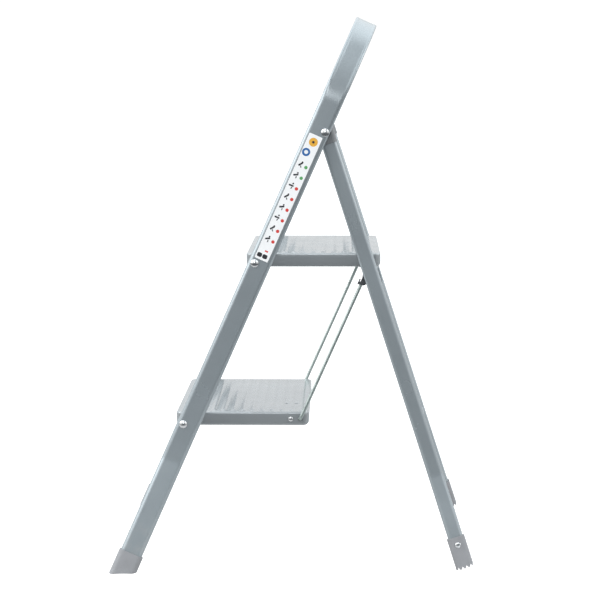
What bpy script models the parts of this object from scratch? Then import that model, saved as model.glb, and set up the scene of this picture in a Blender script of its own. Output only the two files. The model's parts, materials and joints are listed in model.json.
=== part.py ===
"""Folding two-step ladder with a tall hand hoop, built as an assembly of separate pieces.

Metres, +Z up. +Y points from the climbing side to the back, +X to the climber's right.
The front frame leans back, the rear frame leans forward, and both meet at the top hinge.
Every frame has an empty on its joint axis, and its pieces are children of that empty.
"""
import math

import bmesh
import bpy
from mathutils import Matrix, Vector

# Driving dimensions -------------------------------------------------------------------
HINGE_HEIGHT = 0.6235
HINGE_Y = 0.0482
RAIL_LEAN = math.radians(24.0)
LEG_LEAN = math.radians(17.9)

RAIL_WIDTH = 0.0320
RAIL_THICKNESS = 0.0150
RAIL_CORNER = 0.0060
RAIL_OUTER_X = 0.1930
RAIL_OFFSET = -0.0095
TUBE_WALL = 0.0012

LEG_WIDTH = 0.0220
LEG_THICKNESS = 0.0150
LEG_CORNER = 0.0050
LEG_INNER_X = 0.1600

HOOP_RISE = 0.1615
HOOP_RADIUS = 0.1190
FLARE_START = 0.5150
FLARE_ANGLE = math.radians(9.5)
FLARE_RADIUS = 0.0600
RAIL_END = 0.6730
LEG_TOP = 0.0105

STEP_RISE = 0.2300
UPPER_PIVOT_DOWN = 0.2076
PIVOT_OFFSET = -0.0162
PAN_HALF_WIDTH = 0.1500
PAN_DEPTH = 0.1920
PAN_PIVOT_BACK = 0.0139
PAN_PIVOT_DROP = 0.0114
PAN_SKIRT = 0.0208
PAN_CORNER = 0.0090
PAN_SHEET = 0.0015
RIB_RISE = 0.0012
RIB_HALF_WIDTH = 0.0050
RIB_PITCH = 0.0140
RIB_COUNT = 13
RIB_END_MARGIN = 0.0100

ROD_RADIUS = 0.0025
ROD_X = 0.1550
ROD_END_X = 0.1422
ROD_BACK = 0.1653
ROD_BEND = 0.0050
BRACKET_RIVET_BACK = ROD_BACK - 0.0135

BAR_DOWN = 0.2250
BAR_OFFSET = 0.0055
BAR_RADIUS = 0.0040
BRACE_DOWN = 0.4800
BRACE_RADIUS = 0.0080

FOOT_PROUD = 0.0020
FRONT_FOOT_TOP = 0.6567
REAR_FOOT_TOP = 0.6070
REAR_FOOT_TEETH = 5
REAR_TOOTH_DEPTH = 0.0035
REAR_FOOT_RIVET_DOWN = 0.6190
EYELET_SEAT = 0.0008
EYELET_SEAT_RADIUS = 0.0048
EYELET_FLANGE = 0.0009
CAP_BOTTOM = 0.0170
CAP_TOP = 0.0135
CAP_PROUD = 0.0015

CLIP_SHEET = 0.0018
CLIP_BOSS = (-0.0142, -0.2203)
CLIP_CROSSING = (-0.0167, -0.2195)
CLIP_RIVET = (-0.0050, -0.2120)

LABEL_TOP = 0.0085
LABEL_BOTTOM = 0.1995
LABEL_EDGES = (-0.0200, 0.0)

GAP = 0.0003
DOME_STEPS = 4
QUARTER_TURN = math.pi / 2
LAY_DOWN = Matrix.Rotation(QUARTER_TURN, 3, "Y")

# Sizes that follow --------------------------------------------------------------------
RAIL_INNER_X = RAIL_OUTER_X - RAIL_THICKNESS
RAIL_CENTRE_X = RAIL_OUTER_X - RAIL_THICKNESS / 2
LEG_OUTER_X = LEG_INNER_X + LEG_THICKNESS
LEG_CENTRE_X = LEG_INNER_X + LEG_THICKNESS / 2
LOWER_PIVOT_DOWN = UPPER_PIVOT_DOWN + STEP_RISE / math.cos(RAIL_LEAN)
SKIRT_INNER_X = PAN_HALF_WIDTH - PAN_SHEET
CLIP_INNER_X = LEG_INNER_X - GAP - CLIP_SHEET
FOLD_ANGLE = RAIL_LEAN + LEG_LEAN

# Finishes: colour, roughness, metallic -------------------------------------------------
FINISHES = {
    "grey_enamel": ((0.29, 0.325, 0.345), 0.28, 0.4),
    "pan_enamel": ((0.27, 0.295, 0.31), 0.26, 0.4),
    "zinc_wire": ((0.55, 0.57, 0.55), 0.35, 1.0),
    "bright_steel": ((0.75, 0.76, 0.77), 0.22, 1.0),
    "grey_plastic": ((0.29, 0.30, 0.32), 0.55, 0.0),
    "pale_plastic": ((0.26, 0.28, 0.29), 0.50, 0.0),
    "black_plastic": ((0.03, 0.035, 0.04), 0.45, 0.0),
    "white_label": ((0.85, 0.85, 0.84), 0.40, 0.0),
}


def clear_scene():
    """Remove every object that the start-up file holds."""
    for item in list(bpy.data.objects):
        bpy.data.objects.remove(item, do_unlink=True)


def make_finish(name):
    """Return the material called name from FINISHES."""
    colour, roughness, metallic = FINISHES[name]
    material = bpy.data.materials.new(name)
    material.use_nodes = True
    shader = material.node_tree.nodes["Principled BSDF"]
    shader.inputs["Base Color"].default_value = (*colour, 1.0)
    shader.inputs["Roughness"].default_value = roughness
    shader.inputs["Metallic"].default_value = metallic
    material.diffuse_color = (*colour, 1.0)
    return material


class Workshop:
    """The collections and materials that the pieces share."""

    def __init__(self):
        scene_root = bpy.context.scene.collection
        self.parts = bpy.data.collections.new("step_ladder")
        self.cutters = bpy.data.collections.new("cutters")
        scene_root.children.link(self.parts)
        scene_root.children.link(self.cutters)
        self.finishes = {name: make_finish(name) for name in FINISHES}

    def axis(self, name, position, lean=0.0, parent=None):
        """Add an empty on a joint axis, turned about X by lean."""
        empty = bpy.data.objects.new(name, None)
        empty.empty_display_size = 0.03
        empty.location = position
        empty.rotation_euler = (lean, 0.0, 0.0)
        self.parts.objects.link(empty)
        if parent:
            empty.parent = parent
        return empty

    def piece(self, name, mesh, finish, parent, position=(0, 0, 0), turn=(0, 0, 0)):
        """Add a named piece under its frame's empty."""
        item = bpy.data.objects.new(name, mesh)
        mesh.name = name
        mesh.materials.clear()
        mesh.materials.append(self.finishes[finish])
        mesh.shade_smooth()
        mesh.set_sharp_from_angle(angle=math.radians(35))
        item.location = position
        item.rotation_euler = turn
        item.parent = parent
        self.parts.objects.link(item)
        return item

    def cutter(self, name, mesh, parent=None, position=(0, 0, 0), turn=(0, 0, 0)):
        """Add a hidden cutting body."""
        item = bpy.data.objects.new(name, mesh)
        item.location = position
        item.rotation_euler = turn
        item.parent = parent
        item.hide_render = True
        item.display_type = "WIRE"
        self.cutters.objects.link(item)
        return item


def apply_boolean(target, tool, operation="DIFFERENCE"):
    """Cut tool out of target, or join it on with UNION."""
    modifier = target.modifiers.new(tool.name, "BOOLEAN")
    modifier.operation = operation
    modifier.solver = "EXACT"
    modifier.object = tool


# Outlines -----------------------------------------------------------------------------
def arc_points(centre, radius, start, end, steps):
    """Return points on an arc, angles in radians."""
    turn = (end - start) / steps
    angles = [start + turn * index for index in range(steps + 1)]
    return [(centre[0] + radius * math.cos(a), centre[1] + radius * math.sin(a)) for a in angles]


def rounded_rectangle(width, height, radius, steps=4, centre=(0.0, 0.0)):
    """Return a rectangle's outline with round corners, anticlockwise."""
    across = width / 2 - radius
    along = height / 2 - radius
    corners = [(across, along, 0), (-across, along, 1), (-across, -along, 2), (across, -along, 3)]
    points = []
    for x, y, quarter in corners:
        start = quarter * QUARTER_TURN
        middle = (centre[0] + x, centre[1] + y)
        points += arc_points(middle, radius, start, start + QUARTER_TURN, steps)
    return points


def fillet(before, corner, after, radius, steps):
    """Return the arc that rounds the corner of a path."""
    start = Vector(before)
    middle = Vector(corner)
    end = Vector(after)
    back = (start - middle).normalized()
    ahead = (end - middle).normalized()
    half_angle = back.angle(ahead) / 2
    reach = radius / math.tan(half_angle)
    centre = middle + (back + ahead).normalized() * (radius / math.sin(half_angle))
    first = middle + back * reach - centre
    last = middle + ahead * reach - centre
    sweep = first.angle_signed(last)
    points = []
    for index in range(steps + 1):
        angle = math.atan2(first.y, first.x) - sweep * index / steps
        points.append((centre.x + radius * math.cos(angle), centre.y + radius * math.sin(angle)))
    return points


# Mesh makers --------------------------------------------------------------------------
def curve_to_mesh(curve, name):
    """Turn a curve into a clean mesh and remove the curve."""
    holder = bpy.data.objects.new(name, curve)
    bpy.context.scene.collection.objects.link(holder)
    graph = bpy.context.evaluated_depsgraph_get()
    mesh = bpy.data.meshes.new_from_object(holder.evaluated_get(graph))
    bpy.data.objects.remove(holder, do_unlink=True)
    shape = bmesh.new()
    shape.from_mesh(mesh)
    bmesh.ops.remove_doubles(shape, verts=shape.verts, dist=0.00001)
    bmesh.ops.recalc_face_normals(shape, faces=shape.faces)
    shape.to_mesh(mesh)
    shape.free()
    return mesh


def flat_curve(name, points, closed=True):
    """Return a 2D poly curve through points."""
    curve = bpy.data.curves.new(name, "CURVE")
    curve.dimensions = "2D"
    spline = curve.splines.new("POLY")
    spline.points.add(len(points) - 1)
    for point, place in zip(spline.points, points):
        point.co = (place[0], place[1], 0.0, 1.0)
    spline.use_cyclic_u = closed
    return curve


def plate_mesh(name, outline, thickness, holes=()):
    """Return a flat plate with the outline, centred on its own mid-plane."""
    curve = flat_curve(name, outline)
    for centre, radius in holes:
        ring = arc_points(centre, radius, 0.0, 2 * math.pi, 20)[:-1]
        spline = curve.splines.new("POLY")
        spline.points.add(len(ring) - 1)
        for point, place in zip(spline.points, ring):
            point.co = (place[0], place[1], 0.0, 1.0)
        spline.use_cyclic_u = True
    curve.fill_mode = "BOTH"
    curve.extrude = thickness / 2
    return curve_to_mesh(curve, name)


def swept_mesh(name, path, section):
    """Sweep a closed section along a flat path, leaving the ends open."""
    profile = flat_curve(name + "_section", section)
    profile_object = bpy.data.objects.new(name + "_section", profile)
    curve = flat_curve(name, path, closed=False)
    curve.fill_mode = "NONE"
    curve.bevel_mode = "OBJECT"
    curve.bevel_object = profile_object
    mesh = curve_to_mesh(curve, name)
    bpy.data.objects.remove(profile_object, do_unlink=True)
    return mesh


def turned_mesh(name, profile, closed=False):
    """Return the profile's edges; a Screw modifier turns them about Z."""
    mesh = bpy.data.meshes.new(name)
    edges = [(index, index + 1) for index in range(len(profile) - 1)]
    if closed:
        edges.append((len(profile) - 1, 0))
    mesh.from_pydata([(radius, 0.0, height) for radius, height in profile], edges, [])
    return mesh


def add_screw(item, steps=24):
    """Turn the item's profile once about its own Z axis."""
    modifier = item.modifiers.new("turn", "SCREW")
    modifier.steps = steps
    modifier.render_steps = steps
    modifier.use_merge_vertices = True
    modifier.merge_threshold = 0.0001
    modifier.use_normal_calculate = False
    modifier.use_smooth_shade = True


def rod_mesh(name, radius, length, segments=24):
    """Return a cylinder along X, centred on its middle."""
    shape = bmesh.new()
    bmesh.ops.create_cone(
        shape, cap_ends=True, segments=segments, radius1=radius, radius2=radius, depth=length
    )
    bmesh.ops.rotate(shape, verts=shape.verts, cent=(0, 0, 0), matrix=LAY_DOWN)
    mesh = bpy.data.meshes.new(name)
    shape.to_mesh(mesh)
    shape.free()
    return mesh


def box_mesh(name, low, high):
    """Return a box between two corners."""
    shape = bmesh.new()
    bmesh.ops.create_cube(shape, size=1.0)
    size = [b - a for a, b in zip(low, high)]
    middle = [(a + b) / 2 for a, b in zip(low, high)]
    bmesh.ops.scale(shape, verts=shape.verts, vec=size)
    bmesh.ops.translate(shape, verts=shape.verts, vec=middle)
    mesh = bpy.data.meshes.new(name)
    shape.to_mesh(mesh)
    shape.free()
    return mesh


def round_rim(mesh, level, radius, segments=3):
    """Round the edges that bound the flat face at height level."""
    shape = bmesh.new()
    shape.from_mesh(mesh)
    rim = []
    for edge in shape.edges:
        level_ends = all(abs(vertex.co.z - level) < 1e-5 for vertex in edge.verts)
        upright = any(abs(face.normal.z) < 0.1 for face in edge.link_faces)
        if level_ends and upright:
            rim.append(edge)
    bmesh.ops.bevel(
        shape, geom=rim, offset=radius, segments=segments, profile=0.5, affect="EDGES",
        offset_type="OFFSET", clamp_overlap=True, material=-1,
    )
    shape.to_mesh(mesh)
    shape.free()


# Front frame --------------------------------------------------------------------------
def flare_end(centre_x, down):
    """Return where a flared tube's centre line stands at a distance below the hinge."""
    return centre_x + (down - FLARE_START) * math.tan(FLARE_ANGLE)


def front_path():
    """Return the hoop tube's centre line, from the left foot round to the right foot."""
    foot = (flare_end(RAIL_CENTRE_X, RAIL_END), -RAIL_END)
    bend = (RAIL_CENTRE_X, -FLARE_START)
    corner = (RAIL_CENTRE_X, HOOP_RISE)
    crown = (0.0, HOOP_RISE)
    half = [foot]
    half += fillet(foot, bend, corner, FLARE_RADIUS, 3)
    half += fillet(bend, corner, crown, HOOP_RADIUS, 10)
    other = [(-x, y) for x, y in half]
    return other + half[::-1]


def leg_path():
    """Return the right rear leg's centre line, from its top to its foot."""
    down = REAR_FOOT_BOTTOM - 0.0060
    top = (LEG_CENTRE_X, LEG_TOP)
    bend = (LEG_CENTRE_X, -FLARE_START)
    foot = (flare_end(LEG_CENTRE_X, down), -down)
    return [top] + fillet(top, bend, foot, FLARE_RADIUS, 3) + [foot]


def rear_foot_bottom():
    """Return how far down the leg its foot's front tooth meets the floor."""
    front_edge = LEG_WIDTH / 2 + FOOT_PROUD
    return (HINGE_HEIGHT - front_edge * math.sin(LEG_LEAN)) / math.cos(LEG_LEAN)


REAR_FOOT_BOTTOM = rear_foot_bottom()


def add_wall(item):
    """Give a swept skin its sheet thickness, inwards."""
    modifier = item.modifiers.new("wall", "SOLIDIFY")
    modifier.thickness = TUBE_WALL
    modifier.offset = -1.0
    modifier.use_even_offset = True
    modifier.use_rim = True


def drill_across(shop, target, parent, name, radius, offset, down):
    """Drill a hole along X through both walls of a tube or skirt."""
    mesh = rod_mesh(name, radius, 0.60, 20)
    tool = shop.cutter(name, mesh, parent, (0.0, offset, -down))
    apply_boolean(target, tool)


def build_front_tube(shop, frame):
    """Build the one bent tube that forms both rails and the hand hoop."""
    section = rounded_rectangle(RAIL_THICKNESS, RAIL_WIDTH, RAIL_CORNER, 3)
    mesh = swept_mesh("front_tube", front_path(), section)
    turn = (QUARTER_TURN, 0.0, 0.0)
    tube = shop.piece("front_tube", mesh, "grey_enamel", frame, (0.0, RAIL_OFFSET, 0.0), turn)
    add_wall(tube)
    drill_across(shop, tube, frame, "hinge_drill", 0.0033, 0.0, 0.0)
    drill_across(shop, tube, frame, "upper_drill", 0.0028, PIVOT_OFFSET, UPPER_PIVOT_DOWN)
    drill_across(shop, tube, frame, "lower_drill", 0.0028, PIVOT_OFFSET, LOWER_PIVOT_DOWN)


def flared_place(side, centre_x, down, offset):
    """Return the place and turn of a piece on a flared tube end."""
    place = (side * flare_end(centre_x, down), offset, -down)
    return place, (0.0, -side * FLARE_ANGLE, 0.0)


def sleeve_mesh(name, width, depth, corner, low, high):
    """Return an upright block with rounded corners between two heights."""
    outline = rounded_rectangle(width, depth, corner)
    mesh = plate_mesh(name, outline, high - low)
    middle = (low + high) / 2
    for vertex in mesh.vertices:
        vertex.co.z += middle
    return mesh


def build_front_foot(shop, frame, side, label):
    """Build a moulded front foot: a sleeve on the rail with a level sole."""
    name = "front_foot_" + label
    width = RAIL_THICKNESS + 2 * FOOT_PROUD
    depth = RAIL_WIDTH + 2 * FOOT_PROUD
    place, turn = flared_place(side, RAIL_CENTRE_X, FRONT_FOOT_TOP, RAIL_OFFSET)
    mesh = sleeve_mesh(name, width, depth, RAIL_CORNER + FOOT_PROUD, -0.060, 0.0)
    round_rim(mesh, 0.0, 0.0008, 2)
    foot = shop.piece(name, mesh, "grey_plastic", frame, place, turn)
    pocket = sleeve_mesh(
        name + "_pocket", RAIL_THICKNESS + 2 * GAP, RAIL_WIDTH + 2 * GAP, RAIL_CORNER + GAP,
        -(RAIL_END - FRONT_FOOT_TOP) / math.cos(FLARE_ANGLE) - GAP, 0.010,
    )
    apply_boolean(foot, shop.cutter(name + "_pocket", pocket, frame, place, turn))
    floor = box_mesh(name + "_floor", (-0.4, -0.6, -0.1), (0.4, 0.6, 0.0))
    apply_boolean(foot, shop.cutter(name + "_floor", floor))


def dome_profile(head, rise, shaft, length, tail, tail_rise):
    """Return a rivet's profile: a domed head at the top, a shank and a flat tail."""
    sphere = (head * head + rise * rise) / (2 * rise)
    limit = math.asin(head / sphere)
    dome = []
    for index in range(DOME_STEPS + 1):
        angle = limit * index / DOME_STEPS
        dome.append((sphere * math.sin(angle), rise - sphere * (1 - math.cos(angle))))
    dome += [(shaft, 0.0), (shaft, -length)]
    return dome + [(tail, -length), (tail, -length - tail_rise), (0.0, -length - tail_rise)]


def add_rivet(shop, parent, name, face_x, side, place, profile, steps=20):
    """Add a turned rivet along X, with its head on the outer side."""
    mesh = turned_mesh(name, profile)
    position = (side * face_x, place[0], place[1])
    turn = (0.0, side * QUARTER_TURN, 0.0)
    rivet = shop.piece(name, mesh, "bright_steel", parent, position, turn)
    add_screw(rivet, steps)


def add_ring(shop, parent, name, finish, centre_x, side, place, size):
    """Add a turned ring along X; size is outer radius, hole radius and half length."""
    outer, hole, half = size
    profile = [(outer, half), (outer, -half), (hole, -half), (hole, half)]
    mesh = turned_mesh(name, profile, closed=True)
    position = (side * centre_x, place[0], place[1])
    ring = shop.piece(name, mesh, finish, parent, position, (0.0, side * QUARTER_TURN, 0.0))
    add_screw(ring, 20)


def build_front_fasteners(shop, frame, side, label):
    """Build the hinge rivet, the step rivets and the bushes that space the steps."""
    shank = RAIL_OUTER_X - (LEG_INNER_X - CAP_PROUD) + 2 * GAP
    profile = dome_profile(0.0056, 0.0022, 0.0030, shank, 0.0052, 0.0016)
    add_rivet(shop, frame, "hinge_rivet_" + label, RAIL_OUTER_X + GAP, side, (0.0, 0.0), profile)
    bush_middle = (RAIL_INNER_X + PAN_HALF_WIDTH) / 2
    bush_half = (RAIL_INNER_X - PAN_HALF_WIDTH) / 2 - GAP
    for level, down in (("upper", UPPER_PIVOT_DOWN), ("lower", LOWER_PIVOT_DOWN)):
        place = (PIVOT_OFFSET, -down)
        shank = RAIL_OUTER_X - SKIRT_INNER_X + 2 * GAP
        profile = dome_profile(0.0056, 0.0024, 0.0025, shank, 0.0050, 0.0015)
        name = "step_rivet_%s_%s" % (level, label)
        add_rivet(shop, frame, name, RAIL_OUTER_X + GAP, side, place, profile)
        size = (0.0045, 0.0025 + GAP, bush_half)
        name = "step_bush_%s_%s" % (level, label)
        add_ring(shop, frame, name, "pale_plastic", bush_middle, side, place, size)


def build_label(shop, frame):
    """Build the thin information label on the right rail's outer face."""
    width = LABEL_EDGES[1] - LABEL_EDGES[0]
    height = LABEL_BOTTOM - LABEL_TOP
    middle = ((LABEL_EDGES[0] + LABEL_EDGES[1]) / 2, -(LABEL_TOP + LABEL_BOTTOM) / 2)
    outline = rounded_rectangle(width, height, 0.0015, 3, middle)
    mesh = plate_mesh("side_label", outline, 0.0003)
    turn = (QUARTER_TURN, 0.0, QUARTER_TURN)
    shop.piece("side_label", mesh, "white_label", frame, (RAIL_OUTER_X + 0.00035, 0, 0), turn)


# Rear frame ---------------------------------------------------------------------------
def build_rear_leg(shop, frame, side, label):
    """Build one rear leg tube with its holes."""
    name = "rear_leg_" + label
    path = [(side * x, y) for x, y in leg_path()]
    section = rounded_rectangle(LEG_THICKNESS, LEG_WIDTH, LEG_CORNER)
    mesh = swept_mesh(name, path, section)
    leg = shop.piece(name, mesh, "grey_enamel", frame, (0, 0, 0), (QUARTER_TURN, 0.0, 0.0))
    add_wall(leg)
    drill_across(shop, leg, frame, name + "_hinge_drill", 0.0033, 0.0, 0.0)
    place, turn = flared_place(side, LEG_CENTRE_X, REAR_FOOT_RIVET_DOWN, 0.0)
    tool = shop.cutter(name + "_foot_drill", rod_mesh(name + "_d", 0.0031, 0.06, 20), frame, place, turn)
    apply_boolean(leg, tool)
    spot = (side * LEG_INNER_X, CLIP_RIVET[0], CLIP_RIVET[1])
    tool = shop.cutter(name + "_clip_drill", rod_mesh(name + "_c", 0.0018, 0.008, 16), frame, spot)
    apply_boolean(leg, tool)


def build_cross_bars(shop, frame):
    """Build the platform's rest bar and the tubular brace between the rear legs."""
    span = 2 * (LEG_INNER_X - GAP)
    place = (0.0, BAR_OFFSET, -BAR_DOWN)
    shop.piece("rest_bar", rod_mesh("rest_bar", BAR_RADIUS, span), "grey_enamel", frame, place)
    size = (BRACE_RADIUS, BRACE_RADIUS - TUBE_WALL, span / 2)
    add_ring(shop, frame, "rear_brace", "grey_enamel", 0.0, 1, (0.0, -BRACE_DOWN), size)


def build_hinge_cap(shop, frame, side, label):
    """Build the moulded cap on a leg's top end, and the washer beside it."""
    name = "hinge_cap_" + label
    width = LEG_THICKNESS + 2 * CAP_PROUD
    depth = LEG_WIDTH + 2 * CAP_PROUD
    mesh = sleeve_mesh(name, width, depth, LEG_CORNER + CAP_PROUD, -CAP_BOTTOM, CAP_TOP)
    round_rim(mesh, CAP_TOP, 0.0050, 4)
    place = (side * LEG_CENTRE_X, 0.0, 0.0)
    cap = shop.piece(name, mesh, "pale_plastic", frame, place)
    pocket = sleeve_mesh(
        name + "_pocket", LEG_THICKNESS + 2 * GAP, LEG_WIDTH + 2 * GAP, LEG_CORNER + GAP,
        -CAP_BOTTOM - 0.010, LEG_TOP + GAP,
    )
    apply_boolean(cap, shop.cutter(name + "_pocket", pocket, frame, place))
    drill_across(shop, cap, frame, name + "_drill", 0.0033, 0.0, 0.0)
    room = RAIL_INNER_X - LEG_OUTER_X - CAP_PROUD
    middle = RAIL_INNER_X - room / 2
    size = (0.0080, 0.0033, room / 2 - GAP)
    add_ring(shop, frame, "hinge_washer_" + label, "black_plastic", middle, side, (0, 0), size)


def comb_outline(width, foot_bottom):
    """Return the outline that cuts a row of teeth in a foot's sole."""
    pitch = width / REAR_FOOT_TEETH
    points = [(-width, -foot_bottom)]
    points.append((-width / 2, -foot_bottom))
    for index in range(REAR_FOOT_TEETH):
        left = -width / 2 + pitch * index
        points.append((left + pitch * 0.30, -foot_bottom))
        points.append((left + pitch * 0.65, -foot_bottom + REAR_TOOTH_DEPTH))
        points.append((left + pitch, -foot_bottom))
    points[-1] = (width / 2, -foot_bottom + REAR_TOOTH_DEPTH)
    points.append((width, -foot_bottom + REAR_TOOTH_DEPTH))
    return points + [(width, -foot_bottom - 0.02), (-width, -foot_bottom - 0.02)]


def build_rear_foot(shop, frame, side, label):
    """Build a moulded rear foot with a toothed sole, and its hollow rivet."""
    name = "rear_foot_" + label
    width = LEG_THICKNESS + 2 * FOOT_PROUD
    depth = LEG_WIDTH + 2 * FOOT_PROUD
    tall = (REAR_FOOT_BOTTOM - REAR_FOOT_TOP) / math.cos(FLARE_ANGLE)
    place, turn = flared_place(side, LEG_CENTRE_X, REAR_FOOT_TOP, 0.0)
    mesh = sleeve_mesh(name, width, depth, LEG_CORNER + FOOT_PROUD, -tall - 0.006, 0.0)
    round_rim(mesh, 0.0, 0.0008, 2)
    foot = shop.piece(name, mesh, "grey_plastic", frame, place, turn)
    pocket_depth = (REAR_FOOT_BOTTOM - 0.0060 - REAR_FOOT_TOP) / math.cos(FLARE_ANGLE)
    pocket = sleeve_mesh(
        name + "_pocket", LEG_THICKNESS + 2 * GAP, LEG_WIDTH + 2 * GAP, LEG_CORNER + GAP,
        -pocket_depth - GAP, 0.010,
    )
    apply_boolean(foot, shop.cutter(name + "_pocket", pocket, frame, place, turn))
    comb = plate_mesh(name + "_comb", comb_outline(depth, REAR_FOOT_BOTTOM), 0.10)
    middle = (place[0], 0.0, 0.0)
    tool = shop.cutter(name + "_comb", comb, frame, middle, (QUARTER_TURN, 0.0, QUARTER_TURN))
    apply_boolean(foot, tool)
    spot, turn = flared_place(side, LEG_CENTRE_X, REAR_FOOT_RIVET_DOWN, 0.0)
    drill = shop.cutter(name + "_drill", rod_mesh(name + "_drill", 0.0031, 0.06, 20), frame, spot, turn)
    apply_boolean(foot, drill)
    sink_eyelet_seats(shop, foot, frame, spot, turn)
    build_eyelet(shop, frame, side, label, spot)


def sink_eyelet_seats(shop, foot, frame, spot, turn):
    """Sink a shallow seat for the hollow rivet's flange in both faces of a rear foot."""
    reach = LEG_THICKNESS / 2 + FOOT_PROUD - EYELET_SEAT
    depth = 0.0100
    for number, face in enumerate((-1, 1)):
        mesh = rod_mesh("%s_seat_%d" % (foot.name, number), EYELET_SEAT_RADIUS, depth, 24)
        for vertex in mesh.vertices:
            vertex.co.x += face * (reach + depth / 2)
        apply_boolean(foot, shop.cutter(mesh.name, mesh, frame, spot, turn))


def build_eyelet(shop, frame, side, label, spot):
    """Build the hollow rivet that holds a rear foot on its leg."""
    half = LEG_THICKNESS / 2 + FOOT_PROUD - EYELET_SEAT + GAP
    crest = half + EYELET_FLANGE
    lip = half + EYELET_FLANGE * 0.45
    profile = [
        (0.0018, crest), (0.0036, crest), (0.0044, lip), (0.0044, half), (0.0028, half),
        (0.0028, -half), (0.0044, -half), (0.0044, -lip), (0.0036, -crest), (0.0018, -crest),
    ]
    name = "foot_rivet_" + label
    mesh = turned_mesh(name, profile, closed=True)
    turn = (0.0, side * (QUARTER_TURN - FLARE_ANGLE), 0.0)
    add_screw(shop.piece(name, mesh, "bright_steel", frame, spot, turn), 16)


def build_rod_clip(shop, frame, side, label):
    """Build the plastic hook on a leg's inner face that catches the link rod."""
    name = "rod_clip_" + label
    direction = Vector((-math.sin(FOLD_ANGLE), -math.cos(FOLD_ANGLE)))
    forward = Vector((-math.cos(FOLD_ANGLE), math.sin(FOLD_ANGLE)))
    crossing = Vector(CLIP_CROSSING)
    outline = [(-0.0015, -0.2060), (-0.0105, -0.2060), (-0.0135, -0.2130)]
    outline += arc_points(CLIP_BOSS, 0.0043, math.radians(160), math.radians(290), 8)
    outline += [(-0.0015, -0.2195)]
    spot_x = side * (LEG_INNER_X - GAP - CLIP_SHEET / 2)
    turn = (QUARTER_TURN, 0.0, QUARTER_TURN)
    mesh = plate_mesh(name, outline, CLIP_SHEET, [(CLIP_RIVET, 0.0018)])
    clip = shop.piece(name, mesh, "black_plastic", frame, (spot_x, 0, 0), turn)

    lip_inner = ROD_RADIUS + 0.0005
    lip_outer = lip_inner + 0.0016
    bridge = [
        crossing + direction * 0.0035 - forward * 0.0015,
        crossing + direction * 0.0035 + forward * lip_outer,
        crossing - direction * 0.0005 + forward * lip_outer,
        crossing - direction * 0.0005 - forward * 0.0015,
    ]
    mesh = plate_mesh(name + "_bridge", bridge, CLIP_SHEET)
    apply_boolean(clip, shop.cutter(name + "_bridge", mesh, frame, (spot_x, 0, 0), turn), "UNION")
    lip = [
        crossing + direction * 0.0045 + forward * lip_inner,
        crossing + direction * 0.0045 + forward * lip_outer,
        crossing - direction * 0.0040 + forward * lip_outer,
        crossing - direction * 0.0040 + forward * lip_inner,
    ]
    deep = LEG_INNER_X - GAP - 0.0004 - (ROD_X - ROD_RADIUS)
    mesh = plate_mesh(name + "_lip", lip, deep)
    lip_x = side * (ROD_X - ROD_RADIUS + deep / 2)
    apply_boolean(clip, shop.cutter(name + "_lip", mesh, frame, (lip_x, 0, 0), turn), "UNION")
    boss = rod_mesh(name + "_boss", 0.0028, 0.0026, 18)
    place = (side * (LEG_INNER_X - GAP), CLIP_BOSS[0], CLIP_BOSS[1])
    apply_boolean(clip, shop.cutter(name + "_boss", boss, frame, place), "UNION")
    build_clip_rivet(shop, frame, side, label)


def build_clip_rivet(shop, frame, side, label):
    """Build the blind rivet of a rod clip, flush with the clip so that the rod slides past."""
    grip = CLIP_SHEET + GAP + TUBE_WALL + GAP
    profile = [
        (0.0, 0.0), (0.0012, 0.0), (0.0015, -0.0003), (0.0015, -grip), (0.0025, -grip),
        (0.0025, -grip - 0.0006), (0.0018, -grip - 0.0012), (0.0, -grip - 0.0012),
    ]
    name = "clip_rivet_" + label
    mesh = turned_mesh(name, profile)
    position = (side * CLIP_INNER_X, CLIP_RIVET[0], CLIP_RIVET[1])
    turn = (0.0, -side * QUARTER_TURN, 0.0)
    add_screw(shop.piece(name, mesh, "bright_steel", frame, position, turn), 16)


# Steps --------------------------------------------------------------------------------
def build_pan(shop, name, frame):
    """Build a pressed step: a ribbed tread with skirts all round, open underneath."""
    plate_top = PAN_PIVOT_DROP - RIB_RISE
    skirt_bottom = PAN_PIVOT_DROP - PAN_SKIRT
    middle = (0.0, PAN_DEPTH / 2 - PAN_PIVOT_BACK, (plate_top + skirt_bottom) / 2)
    outline = rounded_rectangle(2 * PAN_HALF_WIDTH, PAN_DEPTH, PAN_CORNER, 5)
    half = (plate_top - skirt_bottom) / 2
    mesh = plate_mesh(name, outline, 2 * half)
    round_rim(mesh, half, 0.0025, 3)
    pan = shop.piece(name, mesh, "pan_enamel", frame, middle)
    inner = rounded_rectangle(
        2 * SKIRT_INNER_X, PAN_DEPTH - 2 * PAN_SHEET, PAN_CORNER - PAN_SHEET, 5
    )
    hollow = plate_mesh(name + "_hollow", inner, 2 * half)
    place = (middle[0], middle[1], middle[2] - PAN_SHEET)
    apply_boolean(pan, shop.cutter(name + "_hollow", hollow, frame, place))
    ribs = rib_mesh(name + "_ribs")
    place = (0.0, middle[1], plate_top)
    apply_boolean(pan, shop.cutter(name + "_ribs", ribs, frame, place), "UNION")
    for hole, back, radius in (
        ("pivot", 0.0, 0.0028), ("rod", ROD_BACK, ROD_RADIUS + GAP),
        ("rivet", BRACKET_RIVET_BACK, 0.0021),
    ):
        drill_across(shop, pan, frame, "%s_%s_drill" % (name, hole), radius, back, 0.0)


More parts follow.
